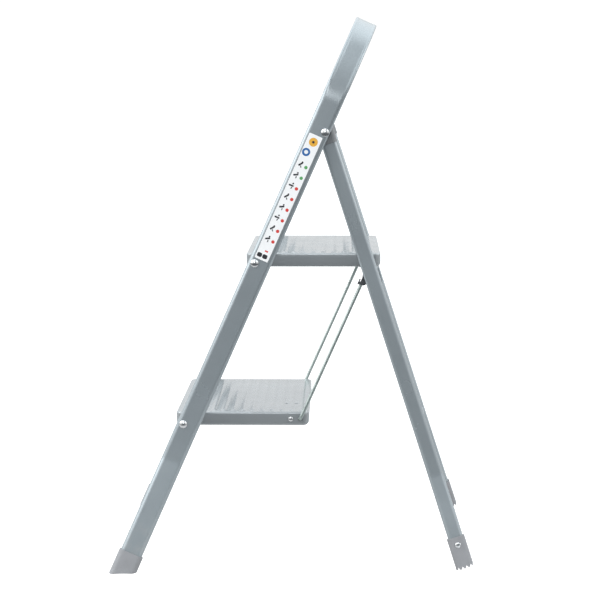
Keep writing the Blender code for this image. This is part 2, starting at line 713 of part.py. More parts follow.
def rib_mesh(name):
    """Return the row of low ribs that run across a tread."""
    shape = bmesh.new()
    for index in range(RIB_COUNT):
        place = (index - (RIB_COUNT - 1) / 2) * RIB_PITCH
        made = bmesh.ops.create_cone(
            shape, cap_ends=True, segments=14, radius1=1.0, radius2=1.0,
            depth=2 * (PAN_HALF_WIDTH - RIB_END_MARGIN),
        )
        bmesh.ops.rotate(shape, verts=made["verts"], cent=(0, 0, 0), matrix=LAY_DOWN)
        bmesh.ops.scale(shape, verts=made["verts"], vec=(1.0, RIB_HALF_WIDTH, RIB_RISE))
        bmesh.ops.translate(shape, verts=made["verts"], vec=(0.0, place, 0.0))
    mesh = bpy.data.meshes.new(name)
    shape.to_mesh(mesh)
    shape.free()
    return mesh


def bar_in_platform():
    """Return the rest bar's centre in the platform's own frame."""
    bar_y = BAR_DOWN * math.sin(LEG_LEAN) + BAR_OFFSET * math.cos(LEG_LEAN)
    bar_z = -BAR_DOWN * math.cos(LEG_LEAN) + BAR_OFFSET * math.sin(LEG_LEAN)
    pivot = rail_place(UPPER_PIVOT_DOWN, PIVOT_OFFSET)
    return bar_y - pivot[0], bar_z - pivot[1]


def hook_outline():
    """Return the side view of the hook that rests on the bar under the platform."""
    bar_y, bar_z = bar_in_platform()
    notch = BAR_RADIUS + 0.0004
    front = 0.1430
    points = [(front, 0.0060), (front, -0.0070), (0.1520, -0.0120), (0.1600, bar_z + 0.0035)]
    points += [(bar_y - notch * 0.98, bar_z + 0.0010)]
    points += arc_points((bar_y, bar_z), notch, math.radians(145), 0.0, 8)
    points += [(bar_y + notch, bar_z - 0.0035), (bar_y + notch + 0.0026, bar_z - 0.0035)]
    points += [(bar_y + notch + 0.0026, bar_z + 0.0010), (0.1755, -0.0105)]
    return points + [(0.1703, -0.0097), (0.1703, 0.0060)]


def build_bracket(shop, frame, side, name, outline, rivet_name):
    """Build a flat bracket inside a skirt, round the rod's end, and its rivet."""
    thickness = 0.0030
    spot_x = side * (SKIRT_INNER_X - GAP - thickness / 2)
    holes = [((ROD_BACK, 0.0), ROD_RADIUS + GAP), ((BRACKET_RIVET_BACK, 0.0), 0.0021)]
    mesh = plate_mesh(name, outline, thickness, holes)
    shop.piece(name, mesh, "grey_enamel", frame, (spot_x, 0, 0), (QUARTER_TURN, 0.0, QUARTER_TURN))
    shank = PAN_SHEET + thickness + 3 * GAP
    profile = dome_profile(0.0034, 0.0013, 0.0018, shank, 0.0032, 0.0010)
    place = (BRACKET_RIVET_BACK, 0.0)
    add_rivet(shop, frame, rivet_name, PAN_HALF_WIDTH + GAP, side, place, profile, 14)


def bracket_outline():
    """Return the side view of the lower step's bracket."""
    return rounded_rectangle(0.0270, 0.0130, 0.0040, 3, (0.1568, 0.0))


def rod_path():
    """Return one link rod's centre line: a straight wire with both ends turned in."""
    length = STEP_RISE / math.cos(RAIL_LEAN)
    ends = [(ROD_END_X, 0.0), (ROD_X, 0.0), (ROD_X, length), (ROD_END_X, length)]
    path = [ends[0]]
    path += fillet(ends[0], ends[1], ends[2], ROD_BEND, 5)
    path += fillet(ends[1], ends[2], ends[3], ROD_BEND, 5)
    return path + [ends[3]]


def build_link_rod(shop, frame, side, label):
    """Build a link rod and the push nuts on its two ends."""
    name = "link_rod_" + label
    curve = flat_curve(name, [(side * x, y) for x, y in rod_path()], closed=False)
    curve.dimensions = "3D"
    curve.bevel_depth = ROD_RADIUS
    curve.bevel_resolution = 4
    curve.use_fill_caps = True
    mesh = curve_to_mesh(curve, name)
    shop.piece(name, mesh, "zinc_wire", frame, (0, 0, 0), (QUARTER_TURN, 0.0, 0.0))
    length = STEP_RISE / math.cos(RAIL_LEAN)
    bracket_face = SKIRT_INNER_X - GAP - 0.0030
    for level, height in (("lower", 0.0), ("upper", length)):
        size = (0.0046, ROD_RADIUS + GAP, 0.0007)
        middle = bracket_face - GAP - 0.0007
        ring_name = "rod_nut_%s_%s" % (level, label)
        add_ring(shop, frame, ring_name, "bright_steel", middle, side, (0.0, height), size)


# Assembly -----------------------------------------------------------------------------
def rail_place(down, offset):
    """Return the y and z, from the hinge, of a point given along and across the rail."""
    y = -down * math.sin(RAIL_LEAN) + offset * math.cos(RAIL_LEAN)
    z = -down * math.cos(RAIL_LEAN) - offset * math.sin(RAIL_LEAN)
    return y, z


def pivot_position(down):
    """Return a step pivot's place in the world."""
    y, z = rail_place(down, PIVOT_OFFSET)
    return 0.0, HINGE_Y + y, HINGE_HEIGHT + z


def build_ladder():
    """Build every frame and its pieces."""
    shop = Workshop()
    sides = ((-1, "left"), (1, "right"))
    hinge = (0.0, HINGE_Y, HINGE_HEIGHT)
    front = shop.axis("front_frame_axis", hinge, -RAIL_LEAN)
    rear = shop.axis("rear_frame_axis", hinge, LEG_LEAN)
    platform = shop.axis("platform_axis", pivot_position(UPPER_PIVOT_DOWN))
    lower = shop.axis("lower_step_axis", pivot_position(LOWER_PIVOT_DOWN))
    rods = shop.axis("rod_axis", (0.0, ROD_BACK, 0.0), -RAIL_LEAN, lower)

    build_front_tube(shop, front)
    build_label(shop, front)
    build_cross_bars(shop, rear)
    build_pan(shop, "platform_pan", platform)
    build_pan(shop, "lower_step_pan", lower)
    for side, label in sides:
        build_front_foot(shop, front, side, label)
        build_front_fasteners(shop, front, side, label)
        build_rear_leg(shop, rear, side, label)
        build_hinge_cap(shop, rear, side, label)
        build_rear_foot(shop, rear, side, label)
        build_rod_clip(shop, rear, side, label)
        build_bracket(
            shop, platform, side, "platform_hook_" + label, hook_outline(), "hook_rivet_" + label
        )
        build_bracket(
            shop, lower, side, "step_bracket_" + label, bracket_outline(), "bracket_rivet_" + label
        )
        build_link_rod(shop, rods, side, label)


clear_scene()
build_ladder()
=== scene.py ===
"""Looks of a folding two-step ladder with a tall hand hoop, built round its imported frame.

Metres, +Z up. +Y points from the climbing side to the back, +X to the climber's right.
Each sub-assembly is a class: its fields are its sizes, its methods build and dress its pieces.
A right-hand piece is modelled once and mirrored for the left. Two tilted datums carry the work:
the rail datum and the leg datum both start on the top hinge and run up their own tubes.
"""

import json
import logging
import math
from dataclasses import dataclass, field
from enum import Enum

import bmesh
import bpy
from bmesh.types import BMEdge, BMesh, BMVert
from mathutils import Matrix, Vector


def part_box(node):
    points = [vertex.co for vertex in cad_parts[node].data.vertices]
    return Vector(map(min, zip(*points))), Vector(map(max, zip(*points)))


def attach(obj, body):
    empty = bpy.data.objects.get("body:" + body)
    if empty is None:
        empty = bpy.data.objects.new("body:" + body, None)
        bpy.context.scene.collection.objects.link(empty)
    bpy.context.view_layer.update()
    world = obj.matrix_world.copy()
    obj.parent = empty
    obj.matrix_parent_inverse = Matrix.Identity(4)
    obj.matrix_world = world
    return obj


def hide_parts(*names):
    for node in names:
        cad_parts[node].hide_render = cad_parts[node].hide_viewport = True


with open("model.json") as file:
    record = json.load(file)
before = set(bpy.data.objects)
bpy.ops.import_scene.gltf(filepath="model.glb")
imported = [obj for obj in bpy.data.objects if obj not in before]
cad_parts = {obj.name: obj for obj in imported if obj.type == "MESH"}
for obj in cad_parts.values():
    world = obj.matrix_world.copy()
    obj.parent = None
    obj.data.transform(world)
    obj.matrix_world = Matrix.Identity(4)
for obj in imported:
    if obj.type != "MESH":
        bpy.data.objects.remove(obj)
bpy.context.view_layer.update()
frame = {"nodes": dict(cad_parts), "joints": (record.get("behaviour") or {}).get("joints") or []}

log = logging.getLogger("step_ladder")

Point = tuple[float, float]
Triple = tuple[float, float, float]
Colour = Triple
Socket = bpy.types.NodeSocket

GAP = 0.0003  # the play left between neighbouring pieces
OVERRUN = 0.010  # how far a bore's cutter starts above the mouth
DRILL = 0.030  # a drill's length, through one wall or skirt
WELD = 0.000002  # points nearer than this are one point
QUARTER = math.pi / 2
MIRROR_X = Matrix.Diagonal((-1.0, 1.0, 1.0, 1.0))
FULL: Point = (0.0, 1.0)
MIDTONES: Point = (0.3, 0.7)


class Slot(Enum):
    """The finish slots of the ladder's record."""

    GREY_ENAMEL = "grey_enamel"
    PAN_ENAMEL = "pan_enamel"
    ZINC_WIRE = "zinc_wire"
    BRIGHT_STEEL = "bright_steel"
    GREY_PLASTIC = "grey_plastic"
    PALE_PLASTIC = "pale_plastic"
    BLACK_PLASTIC = "black_plastic"
    WHITE_LABEL = "white_label"


class Side(Enum):
    """The two sides of the ladder, as the climber sees them."""

    LEFT = "left"
    RIGHT = "right"


# Finishes -----------------------------------------------------------------------------
class NodeBench:
    """Lays out the shading nodes of one node tree."""

    def __init__(self, tree: bpy.types.NodeTree, coordinates: str) -> None:
        """Take a tree and the kind of coordinates that its patterns read.

        Args:
            tree: the node tree to fill.
            coordinates: the name of a texture coordinate output.
        """
        self.tree = tree
        self.place = tree.nodes.new("ShaderNodeTexCoord").outputs[coordinates]

    def turned(self, turn: float, stretch: Triple) -> Socket:
        """Return Object coordinates turned about X and stretched.

        Args:
            turn: the angle about X that stands the pattern up along a leaning tube.
            stretch: the scale along the pattern's own axes.

        Returns:
            The vector socket of the mapping.
        """
        mapping = self.tree.nodes.new("ShaderNodeMapping")
        mapping.inputs["Rotation"].default_value = (turn, 0.0, 0.0)
        mapping.inputs["Scale"].default_value = stretch
        self.tree.links.new(self.place, mapping.inputs["Vector"])
        return mapping.outputs["Vector"]

    def noise(self, scale: float, detail: float = 3.0, where: Socket | None = None) -> Socket:
        """Return a noise of the given scale, in features per metre.

        Args:
            scale: how many features a metre holds.
            detail: how many finer octaves lie on the noise.
            where: the coordinates to read, or None for plain Object coordinates.

        Returns:
            The noise's value socket.
        """
        node = self.tree.nodes.new("ShaderNodeTexNoise")
        node.inputs["Scale"].default_value = scale
        node.inputs["Detail"].default_value = detail
        self.tree.links.new(where or self.place, node.inputs["Vector"])
        return node.outputs["Fac"]

    def span(self, source: Socket, taken: Point, given: Point) -> Socket:
        """Return source mapped from one range to another, clamped."""
        node = self.tree.nodes.new("ShaderNodeMapRange")
        self.tree.links.new(source, node.inputs["Value"])
        node.inputs["From Min"].default_value = taken[0]
        node.inputs["From Max"].default_value = taken[1]
        node.inputs["To Min"].default_value = given[0]
        node.inputs["To Max"].default_value = given[1]
        return node.outputs["Result"]

    def calc(self, operation: str, first: Socket, second: Socket | float = 0.0) -> Socket:
        """Return the result of a maths node on one or two values."""
        node = self.tree.nodes.new("ShaderNodeMath")
        node.operation = operation
        self.tree.links.new(first, node.inputs[0])
        if isinstance(second, Socket):
            self.tree.links.new(second, node.inputs[1])
        else:
            node.inputs[1].default_value = second
        return node.outputs["Value"]

    def blend(self, share: Socket, first: Socket | Colour, second: Socket | Colour) -> Socket:
        """Return a colour between two, each a plain colour or a socket."""
        node = self.tree.nodes.new("ShaderNodeMix")
        node.data_type = "RGBA"
        self.tree.links.new(share, node.inputs[0])
        for source, target in ((first, node.inputs[6]), (second, node.inputs[7])):
            if isinstance(source, Socket):
                self.tree.links.new(source, target)
            else:
                target.default_value = (*source, 1.0)
        return node.outputs[2]

    def height(self, axis: str) -> Socket:
        """Return one coordinate of the surface point, in metres."""
        node = self.tree.nodes.new("ShaderNodeSeparateXYZ")
        self.tree.links.new(self.place, node.inputs["Vector"])
        return node.outputs[axis]

    def bump(self, source: Socket, depth: float, strength: float, under: Socket | None = None) -> Socket:
        """Return a normal bumped by a height.

        Args:
            source: the height, from 0 to 1.
            depth: how deep a full step is, in metres.
            strength: how much of the bump shows.
            under: a normal that this bump lies on.

        Returns:
            The bumped normal's socket.
        """
        node = self.tree.nodes.new("ShaderNodeBump")
        node.inputs["Strength"].default_value = strength
        node.inputs["Distance"].default_value = depth
        self.tree.links.new(source, node.inputs["Height"])
        if under:
            self.tree.links.new(under, node.inputs["Normal"])
        return node.outputs["Normal"]


class CoatBench(NodeBench):
    """Lays out one material round its Principled shader."""

    def __init__(self, name: str) -> None:
        """Start a material with an empty Principled shader.

        Args:
            name: the material's name.
        """
        self.material = bpy.data.materials.new(name)
        self.material.use_nodes = True
        super().__init__(self.material.node_tree, "Object")
        self.shader = self.tree.nodes["Principled BSDF"]

    def set(self, **values: float) -> None:
        """Set constant inputs of the shader; an underscore stands for a space."""
        for name, value in values.items():
            self.shader.inputs[name.replace("_", " ")].default_value = value

    def feed(self, name: str, source: Socket) -> None:
        """Link a varying value to one input of the shader."""
        self.tree.links.new(source, self.shader.inputs[name])

    def vary_gloss(self, source: Socket, low: float, high: float, taken: Point = MIDTONES) -> None:
        """Let a pattern move the roughness between two values."""
        self.feed("Roughness", self.span(source, taken, (low, high)))


def shaded(colour: Colour, factor: float) -> Colour:
    """Return a colour made darker or lighter by a factor."""
    return tuple(min(1.0, part * factor) for part in colour)


@dataclass(frozen=True)
class Enamel:
    """Stoved metallic enamel on steel: soft gloss, fine orange peel, a little floor dust."""

    name: str
    colour: Colour
    roughness: float
    flake: float = 0.42
    peel: float = 0.05
    ripple: float = 0.04
    dust_height: float = 0.09
    dust: Colour = (0.46, 0.45, 0.43)

    def make(self) -> bpy.types.Material:
        """Return the finished material."""
        bench = CoatBench(self.name)
        clouds = bench.span(bench.noise(9.0, 4.0), (0.35, 0.65), FULL)
        tone = bench.blend(clouds, shaded(self.colour, 0.955), shaded(self.colour, 1.045))
        specks = bench.span(bench.noise(1400.0, 2.0), (0.66, 0.76), (0.0, 0.35))
        tone = bench.blend(specks, tone, shaded(self.colour, 1.25))
        low = bench.span(bench.height("Z"), (0.0, self.dust_height), (1.0, 0.0))
        patches = bench.span(bench.noise(70.0, 5.0), (0.42, 0.72), (0.0, 0.45))
        dusty = bench.calc("MULTIPLY", low, patches)
        tone = bench.blend(dusty, tone, self.dust)
        bench.feed("Base Color", tone)
        bench.vary_gloss(bench.noise(26.0, 5.0), self.roughness - 0.03, self.roughness + 0.04)
        bench.set(IOR=1.5, Metallic=self.flake)
        peel = bench.bump(bench.noise(320.0, 2.0), 0.00012, self.peel)
        bench.feed("Normal", bench.bump(bench.noise(38.0, 2.0), 0.0006, self.ripple, peel))
        return bench.material


@dataclass(frozen=True)
class DrawnWire:
    """Zinc-plated drawn wire: greenish grey, streaked along its length."""

    name: str
    colour: Colour
    roughness: float
    lean: float

    def make(self) -> bpy.types.Material:
        """Return the finished material."""
        bench = CoatBench(self.name)
        along = bench.turned(self.lean, (1.0, 1.0, 0.02))
        streaks = bench.noise(900.0, 3.0, along)
        bloom = bench.span(bench.noise(130.0, 4.0), (0.4, 0.68), (0.0, 0.6))
        share = bench.span(streaks, MIDTONES, FULL)
        tone = bench.blend(share, shaded(self.colour, 0.86), self.colour)
        bench.feed("Base Color", bench.blend(bloom, tone, shaded(self.colour, 1.15)))
        bench.vary_gloss(streaks, self.roughness - 0.06, self.roughness + 0.10)
        bench.set(Metallic=1.0)
        bench.feed("Normal", bench.bump(streaks, 0.00005, 0.3))
        return bench.material


@dataclass(frozen=True)
class PlatedSteel:
    """Bright plated steel with the faint tool marks of a set rivet."""

    name: str
    colour: Colour
    roughness: float

    def make(self) -> bpy.types.Material:
        """Return the finished material."""
        bench = CoatBench(self.name)
        haze = bench.noise(420.0, 4.0)
        tone = bench.blend(haze, shaded(self.colour, 0.9), shaded(self.colour, 1.05))
        bench.feed("Base Color", tone)
        bench.vary_gloss(haze, self.roughness - 0.04, self.roughness + 0.08, (0.35, 0.7))
        bench.set(Metallic=1.0)
        bench.feed("Normal", bench.bump(bench.noise(1600.0, 2.0), 0.00003, 0.25))
        return bench.material


@dataclass(frozen=True)
class MouldedPlastic:
    """Moulded plastic: a fine spark-eroded grain, paler where it is rubbed."""

    name: str
    colour: Colour
    roughness: float
    grain: float = 1700.0
    rub_height: float = 0.012

    def make(self) -> bpy.types.Material:
        """Return the finished material."""
        bench = CoatBench(self.name)
        flow = bench.span(bench.noise(55.0, 4.0), MIDTONES, FULL)
        tone = bench.blend(flow, shaded(self.colour, 0.94), shaded(self.colour, 1.05))
        low = bench.span(bench.height("Z"), (0.0, self.rub_height), (1.0, 0.0))
        marks = bench.span(bench.noise(480.0, 4.0), (0.45, 0.7), (0.0, 0.4))
        scuffs = bench.calc("MULTIPLY", low, marks)
        bench.feed("Base Color", bench.blend(scuffs, tone, shaded(self.colour, 1.5)))
        grain = bench.noise(self.grain, 3.0)
        bench.vary_gloss(grain, self.roughness - 0.06, self.roughness + 0.08)
        bench.set(IOR=1.48)
        bench.feed("Normal", bench.bump(grain, 0.00006, 0.35))
        return bench.material


@dataclass(frozen=True)
class PrintedFilm:
    """Self-adhesive film or the ink printed on it, with a slight waviness."""

    name: str
    colour: Colour
    roughness: float = 0.34

    def make(self) -> bpy.types.Material:
        """Return the finished material."""
        bench = CoatBench(self.name)
        fade = bench.span(bench.noise(45.0, 3.0), MIDTONES, FULL)
        bench.feed("Base Color", bench.blend(fade, shaded(self.colour, 0.965), self.colour))
        wave = bench.noise(90.0, 2.0)
        bench.vary_gloss(wave, self.roughness - 0.05, self.roughness + 0.05)
        bench.set(IOR=1.46)
        bench.feed("Normal", bench.bump(wave, 0.0002, 0.08))
        return bench.material


# Shapes -------------------------------------------------------------------------------
def smooth_step(low: float, high: float, value: float) -> float:
    """Return 0 below a range, 1 above it and an eased share within it."""
    share = max(0.0, min(1.0, (value - low) / (high - low)))
    return share * share * (3.0 - 2.0 * share)


def rounded_plate(width: float, depth: float, radius: float, segments: int = 6) -> BMesh:
    """Return one face with round corners, in the XY plane and centred.

    Args:
        width: the size along X.
        depth: the size along Y.
        radius: the corners' radius.
        segments: the facets of each corner.

    Returns:
        A mesh of a single face.
    """
    shape = bmesh.new()
    bmesh.ops.create_grid(shape, x_segments=1, y_segments=1, size=0.5)
    bmesh.ops.scale(shape, verts=shape.verts, vec=(width, depth, 1.0))
    bmesh.ops.bevel(
        shape, geom=shape.verts[:], offset=radius, offset_type="OFFSET", segments=segments,
        profile=0.5, affect="VERTICES", material=-1, clamp_overlap=True,
    )
    return shape


def pull_face(shape: BMesh, travel: Vector) -> BMesh:
    """Pull a flat shape's face into a solid that faces outwards."""
    made = bmesh.ops.extrude_face_region(shape, geom=shape.faces[:])["geom"]
    fresh = [item for item in made if isinstance(item, BMVert)]
    bmesh.ops.translate(shape, verts=fresh, vec=travel)
    bmesh.ops.recalc_face_normals(shape, faces=shape.faces)
    return shape


def raise_plate(shape: BMesh, height: float) -> BMesh:
    """Pull the plate's face along Z into a solid.

    Args:
        shape: a flat plate, which stays as the solid's other end.
        height: how far the copy of the face moves, up or down.

    Returns:
        The same mesh, closed and facing outwards.
    """
    return pull_face(shape, Vector((0.0, 0.0, height)))


def outline_solid(points: list[Point], low: float, high: float) -> BMesh:
    """Return an outline in the YZ plane, pulled along X between two places.

    Args:
        points: the outline's corners as (y, z).
        low: the nearer X.
        high: the farther X.

    Returns:
        A closed solid.
    """
    shape = bmesh.new()
    shape.faces.new([shape.verts.new((low, y, z)) for y, z in points])
    return pull_face(shape, Vector((high - low, 0.0, 0.0)))


def turned_shape(profile: list[Point], steps: int = 48, closed: bool = False) -> BMesh:
    """Turn a profile of (radius, height) once about Z.

    Args:
        profile: the outline from the axis out, or round a ring's section.
        steps: the facets of the full turn.
        closed: True where the profile is a ring's closed section.

    Returns:
        A closed turned solid.
    """
    shape = bmesh.new()
    points = [shape.verts.new((radius, 0.0, height)) for radius, height in profile]
    for first, second in zip(points, points[1:]):
        shape.edges.new((first, second))
    if closed:
        shape.edges.new((points[-1], points[0]))
    bmesh.ops.spin(
        shape, geom=shape.verts[:] + shape.edges[:], cent=(0, 0, 0), axis=(0, 0, 1),
        dvec=(0, 0, 0), angle=2 * math.pi, steps=steps, use_merge=True,
    )
    bmesh.ops.remove_doubles(shape, verts=shape.verts, dist=0.000005)
    bmesh.ops.recalc_face_normals(shape, faces=shape.faces)
    return shape


def eased_section(outer: float, hole: float, half: float, ease: float) -> list[Point]:
    """Return a flat ring's section with its four corners eased off."""
    return [
        (outer - ease, half), (outer, half - ease), (outer, ease - half), (outer - ease, -half),
        (hole + ease, -half), (hole, ease - half), (hole, half - ease), (hole + ease, half),
    ]


def round_bar(radius: float, length: float, segments: int = 48) -> BMesh:
    """Return a plain cylinder along X, centred."""
    shape = bmesh.new()
    bmesh.ops.create_cone(
        shape, cap_ends=True, segments=segments, radius1=radius, radius2=radius, depth=length,
        matrix=Matrix.Rotation(QUARTER, 4, "Y"),
    )
    return shape


def block(low: Vector, high: Vector) -> BMesh:
    """Return a box between two corners."""
    shape = bmesh.new()
    bmesh.ops.create_cube(shape, size=1.0)
    bmesh.ops.scale(shape, verts=shape.verts, vec=high - low)
    bmesh.ops.translate(shape, verts=shape.verts, vec=(low + high) / 2)
    return shape


def moved(shape: BMesh, place: Matrix) -> BMesh:
    """Return the shape after a transform."""
    bmesh.ops.transform(shape, matrix=place, verts=shape.verts)
    return shape


def bench_object(shape: BMesh) -> bpy.types.Object:
    """Return a scratch object that holds the shape, which is freed."""
    mesh = bpy.data.meshes.new("bench")
    shape.to_mesh(mesh)
    shape.free()
    holder = bpy.data.objects.new("bench", mesh)
    bpy.context.scene.collection.objects.link(holder)
    return holder


def worked(holder: bpy.types.Object) -> BMesh:
    """Return a scratch object's mesh after its modifiers."""
    graph = bpy.context.evaluated_depsgraph_get()
    mesh = bpy.data.meshes.new_from_object(holder.evaluated_get(graph))
    made = bmesh.new()
    made.from_mesh(mesh)
    bpy.data.meshes.remove(mesh)
    return made


def cut(shape: BMesh, tool: BMesh) -> BMesh:
    """Cut a tool out of a shape with an exact Boolean.

    Args:
        shape: the closed mesh that is cut; it is freed.
        tool: the closed mesh that cuts; it is freed.

    Returns:
        The new mesh.
    """
    holders = [bench_object(source) for source in (shape, tool)]
    modifier = holders[0].modifiers.new("work", "BOOLEAN")
    modifier.operation = "DIFFERENCE"
    modifier.solver = "EXACT"
    modifier.object = holders[1]
    made = worked(holders[0])
    for holder in holders:
        bpy.data.meshes.remove(holder.data)
    bmesh.ops.remove_doubles(made, verts=made.verts, dist=WELD)
    return made


def add_wall(piece: bpy.types.Object, thickness: float) -> None:
    """Give an open skin its sheet thickness, inwards."""
    modifier = piece.modifiers.new("wall", "SOLIDIFY")
    modifier.thickness = thickness
    modifier.offset = -1.0
    modifier.use_even_offset = True
    modifier.use_rim = True


def thickened(shape: BMesh, thickness: float) -> BMesh:
    """Return an open skin as a closed sheet that grew inwards; the skin is freed."""
    holder = bench_object(shape)
    add_wall(holder, thickness)
    made = worked(holder)
    bpy.data.meshes.remove(holder.data)
    return made


def drilled(shape: BMesh, holes: list[tuple[Matrix, float, float]]) -> BMesh:
    """Drill round holes along X.

    Args:
        shape: the closed mesh; it is freed.
        holes: for each hole its middle, its radius and the drill's length.

    Returns:
        The new mesh.
    """
    drills = [moved(round_bar(radius, length, 32), place) for place, radius, length in holes]
    return cut(shape, gathered(drills))


def gathered(shapes: list[BMesh]) -> BMesh:
    """Return several meshes as one, and free them."""
    whole = bmesh.new()
    for shape in shapes:
        mesh = bpy.data.meshes.new("bench")
        shape.to_mesh(mesh)
        shape.free()
        whole.from_mesh(mesh)
        bpy.data.meshes.remove(mesh)
    return whole


def node_copy(node: str) -> BMesh:
    """Return a CAD node's mesh as one closed shape with whole flat faces."""
    shape = bmesh.new()
    shape.from_mesh(frame["nodes"][node].data)
    bmesh.ops.remove_doubles(shape, verts=shape.verts, dist=WELD)
    bmesh.ops.dissolve_limit(
        shape, angle_limit=math.radians(1.0), verts=shape.verts, edges=shape.edges
    )
    return shape


def drawn_rim(shape: BMesh, rim: list[BMEdge]) -> tuple[set[BMVert], list[BMEdge]]:
    """Draw a new strip of faces out of a rim, and return the new rim's points and edges."""
    made = bmesh.ops.extrude_edge_only(shape, edges=rim)["geom"]
    fresh = {item for item in made if isinstance(item, BMVert)}
    edges = [item for item in made if isinstance(item, BMEdge)]
    return fresh, [edge for edge in edges if all(end in fresh for end in edge.verts)]


def round_edges(shape: BMesh, edges: list[BMEdge], radius: float, segments: int) -> None:
    """Round some of a shape's edges."""
    bmesh.ops.bevel(
        shape, geom=edges, offset=radius, offset_type="OFFSET", segments=segments,
        profile=0.5, affect="EDGES", material=-1, clamp_overlap=True,
    )


@dataclass(frozen=True)
class Tube:
    """A tube's rounded section, and what fits round it."""

    thickness: float
    width: float
    corner: float
    wall: float = 0.0012

    def plate(self, proud: float) -> BMesh:
        """Return a face of the section, grown by a margin, in the XY plane."""
        grown = (self.thickness + 2 * proud, self.width + 2 * proud)
        return rounded_plate(*grown, self.corner + proud, 8)

    def ring(self) -> BMesh:
        """Return the section's open outline, in the XY plane."""
        shape = self.plate(0.0)
        bmesh.ops.delete(shape, geom=shape.faces[:], context="FACES_ONLY")
        return shape

    def sleeve(self, proud: float, tall: float) -> BMesh:
        """Return a solid round the tube that hangs down from the XY plane."""
        return raise_plate(self.plate(proud), -tall)

    def bore(self, depth: float) -> BMesh:
        """Return the cutter that makes room for the tube down to a depth."""
        shape = self.plate(GAP)
        bmesh.ops.translate(shape, verts=shape.verts, vec=(0.0, 0.0, OVERRUN))
        return raise_plate(shape, -depth - OVERRUN)


class TubeBender:
    """Draws a closed section along straight runs and bends, as a tube bender does."""

    def __init__(self, section: BMesh, start: Vector, heading: float) -> None:
        """Stand the section square to its first run.

        Args:
            section: the outline, in the XY plane; its X lies in the plane of the bends.
            start: where the run starts.
            heading: the run's angle from +Z towards +X.
        """
        self.shape = section
        self.point = start.copy()
        self.heading = heading
        moved(section, Matrix.Translation(start) @ Matrix.Rotation(heading, 4, "Y"))
        self.rim: list[BMEdge] = section.edges[:]

    def straight(self, length: float, cuts: int = 1) -> None:
        """Draw a straight run in a number of equal lengths."""
        ahead = Vector((math.sin(self.heading), 0.0, math.cos(self.heading))) * (length / cuts)
        for _ in range(cuts):
            fresh, self.rim = drawn_rim(self.shape, self.rim)
            bmesh.ops.translate(self.shape, verts=list(fresh), vec=ahead)
            self.point += ahead

    def bend(self, angle: float, radius: float, steps: int) -> None:
        """Draw a bend; a positive angle turns from +Z towards +X."""
        across = Vector((math.cos(self.heading), 0.0, -math.sin(self.heading)))
        centre = self.point + across * math.copysign(radius, angle)
        ends = {end for edge in self.rim for end in edge.verts}
        made = bmesh.ops.spin(
            self.shape, geom=self.rim + list(ends), cent=centre, axis=(0, 1, 0),
            dvec=(0, 0, 0), angle=angle, steps=steps,
        )["geom_last"]
        self.rim = [item for item in made if isinstance(item, BMEdge)]
        self.point = centre + Matrix.Rotation(angle, 3, "Y") @ (self.point - centre)
        self.heading += angle

    def closed(self) -> BMesh:
        """Return the run with both its ends filled."""
        bmesh.ops.holes_fill(self.shape, edges=self.shape.edges, sides=0)
        return self.open()

    def open(self) -> BMesh:
        """Return the run with open ends, facing outwards."""
        bmesh.ops.remove_doubles(self.shape, verts=self.shape.verts, dist=WELD)
        bmesh.ops.recalc_face_normals(self.shape, faces=self.shape.faces)
        return self.shape


# Datums and the bench -----------------------------------------------------------------
@dataclass(frozen=True)
class Datum:
    """An origin and a lean about X, in which a sub-assembly is modelled."""

    origin: Vector
    lean: float = 0.0

    @property
    def matrix(self) -> Matrix:
        """The transform from the datum to the ladder."""
        return Matrix.Translation(self.origin) @ Matrix.Rotation(self.lean, 4, "X")

    def at(self, x: float, y: float, z: float) -> Matrix:
        """Return the transform of a place in the datum."""
        return self.matrix @ Matrix.Translation((x, y, z))

    def lathe(self, x: float, y: float, z: float, outwards: bool = True) -> Matrix:
        """Return the transform that lays a turned piece's Z along X."""
        turn = QUARTER if outwards else -QUARTER
        return self.at(x, y, z) @ Matrix.Rotation(turn, 4, "Y")


def joint_place(name: str) -> Vector:
    """Return where a joint's axis stands."""
    for joint in frame["joints"]:
        if joint["name"] == name:
            return Vector(joint["pos_m"])
    raise KeyError(name)


def box_middle(node: str) -> Vector:
    """Return the middle of a node's box."""
    low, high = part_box(node)
    return (low + high) / 2


HINGE = joint_place("rear_fold")
UPPER_PIVOT = joint_place("platform_fold")
LOWER_PIVOT = joint_place("lower_step_fold")
ROD_PIVOT = joint_place("right_rod_swing")
RISE = UPPER_PIVOT - LOWER_PIVOT
RAIL_LEAN = math.atan2(RISE.y, RISE.z)
ANKLE = box_middle("foot_rivet_right") - HINGE
LEG_LEAN = math.atan2(ANKLE.y, -ANKLE.z)
RAIL = Datum(HINGE, -RAIL_LEAN)
LEG = Datum(HINGE, LEG_LEAN)
ROD = Datum(ROD_PIVOT, -RAIL_LEAN)


@dataclass(frozen=True)
class Flare:
    """The outward kick of a tube near the floor."""

    start: float = 0.515
    angle: float = math.radians(9.5)
    radius: float = 0.060

    @property
    def reach(self) -> float:
        """How far the bend reaches along each of its straights."""
        return self.radius * math.tan(self.angle / 2)

    def run(self, down: float) -> float:
        """Return the straight length from the bend down to a level."""
        return (down - self.start) / math.cos(self.angle) - self.reach

    def place(self, datum: Datum, centre_x: float, down: float, offset: float) -> Matrix:
        """Return the transform of a piece on the flared end of a right-hand tube."""
        x = centre_x + (down - self.start) * math.tan(self.angle)
        return datum.at(x, offset, -down) @ Matrix.Rotation(-self.angle, 4, "Y")


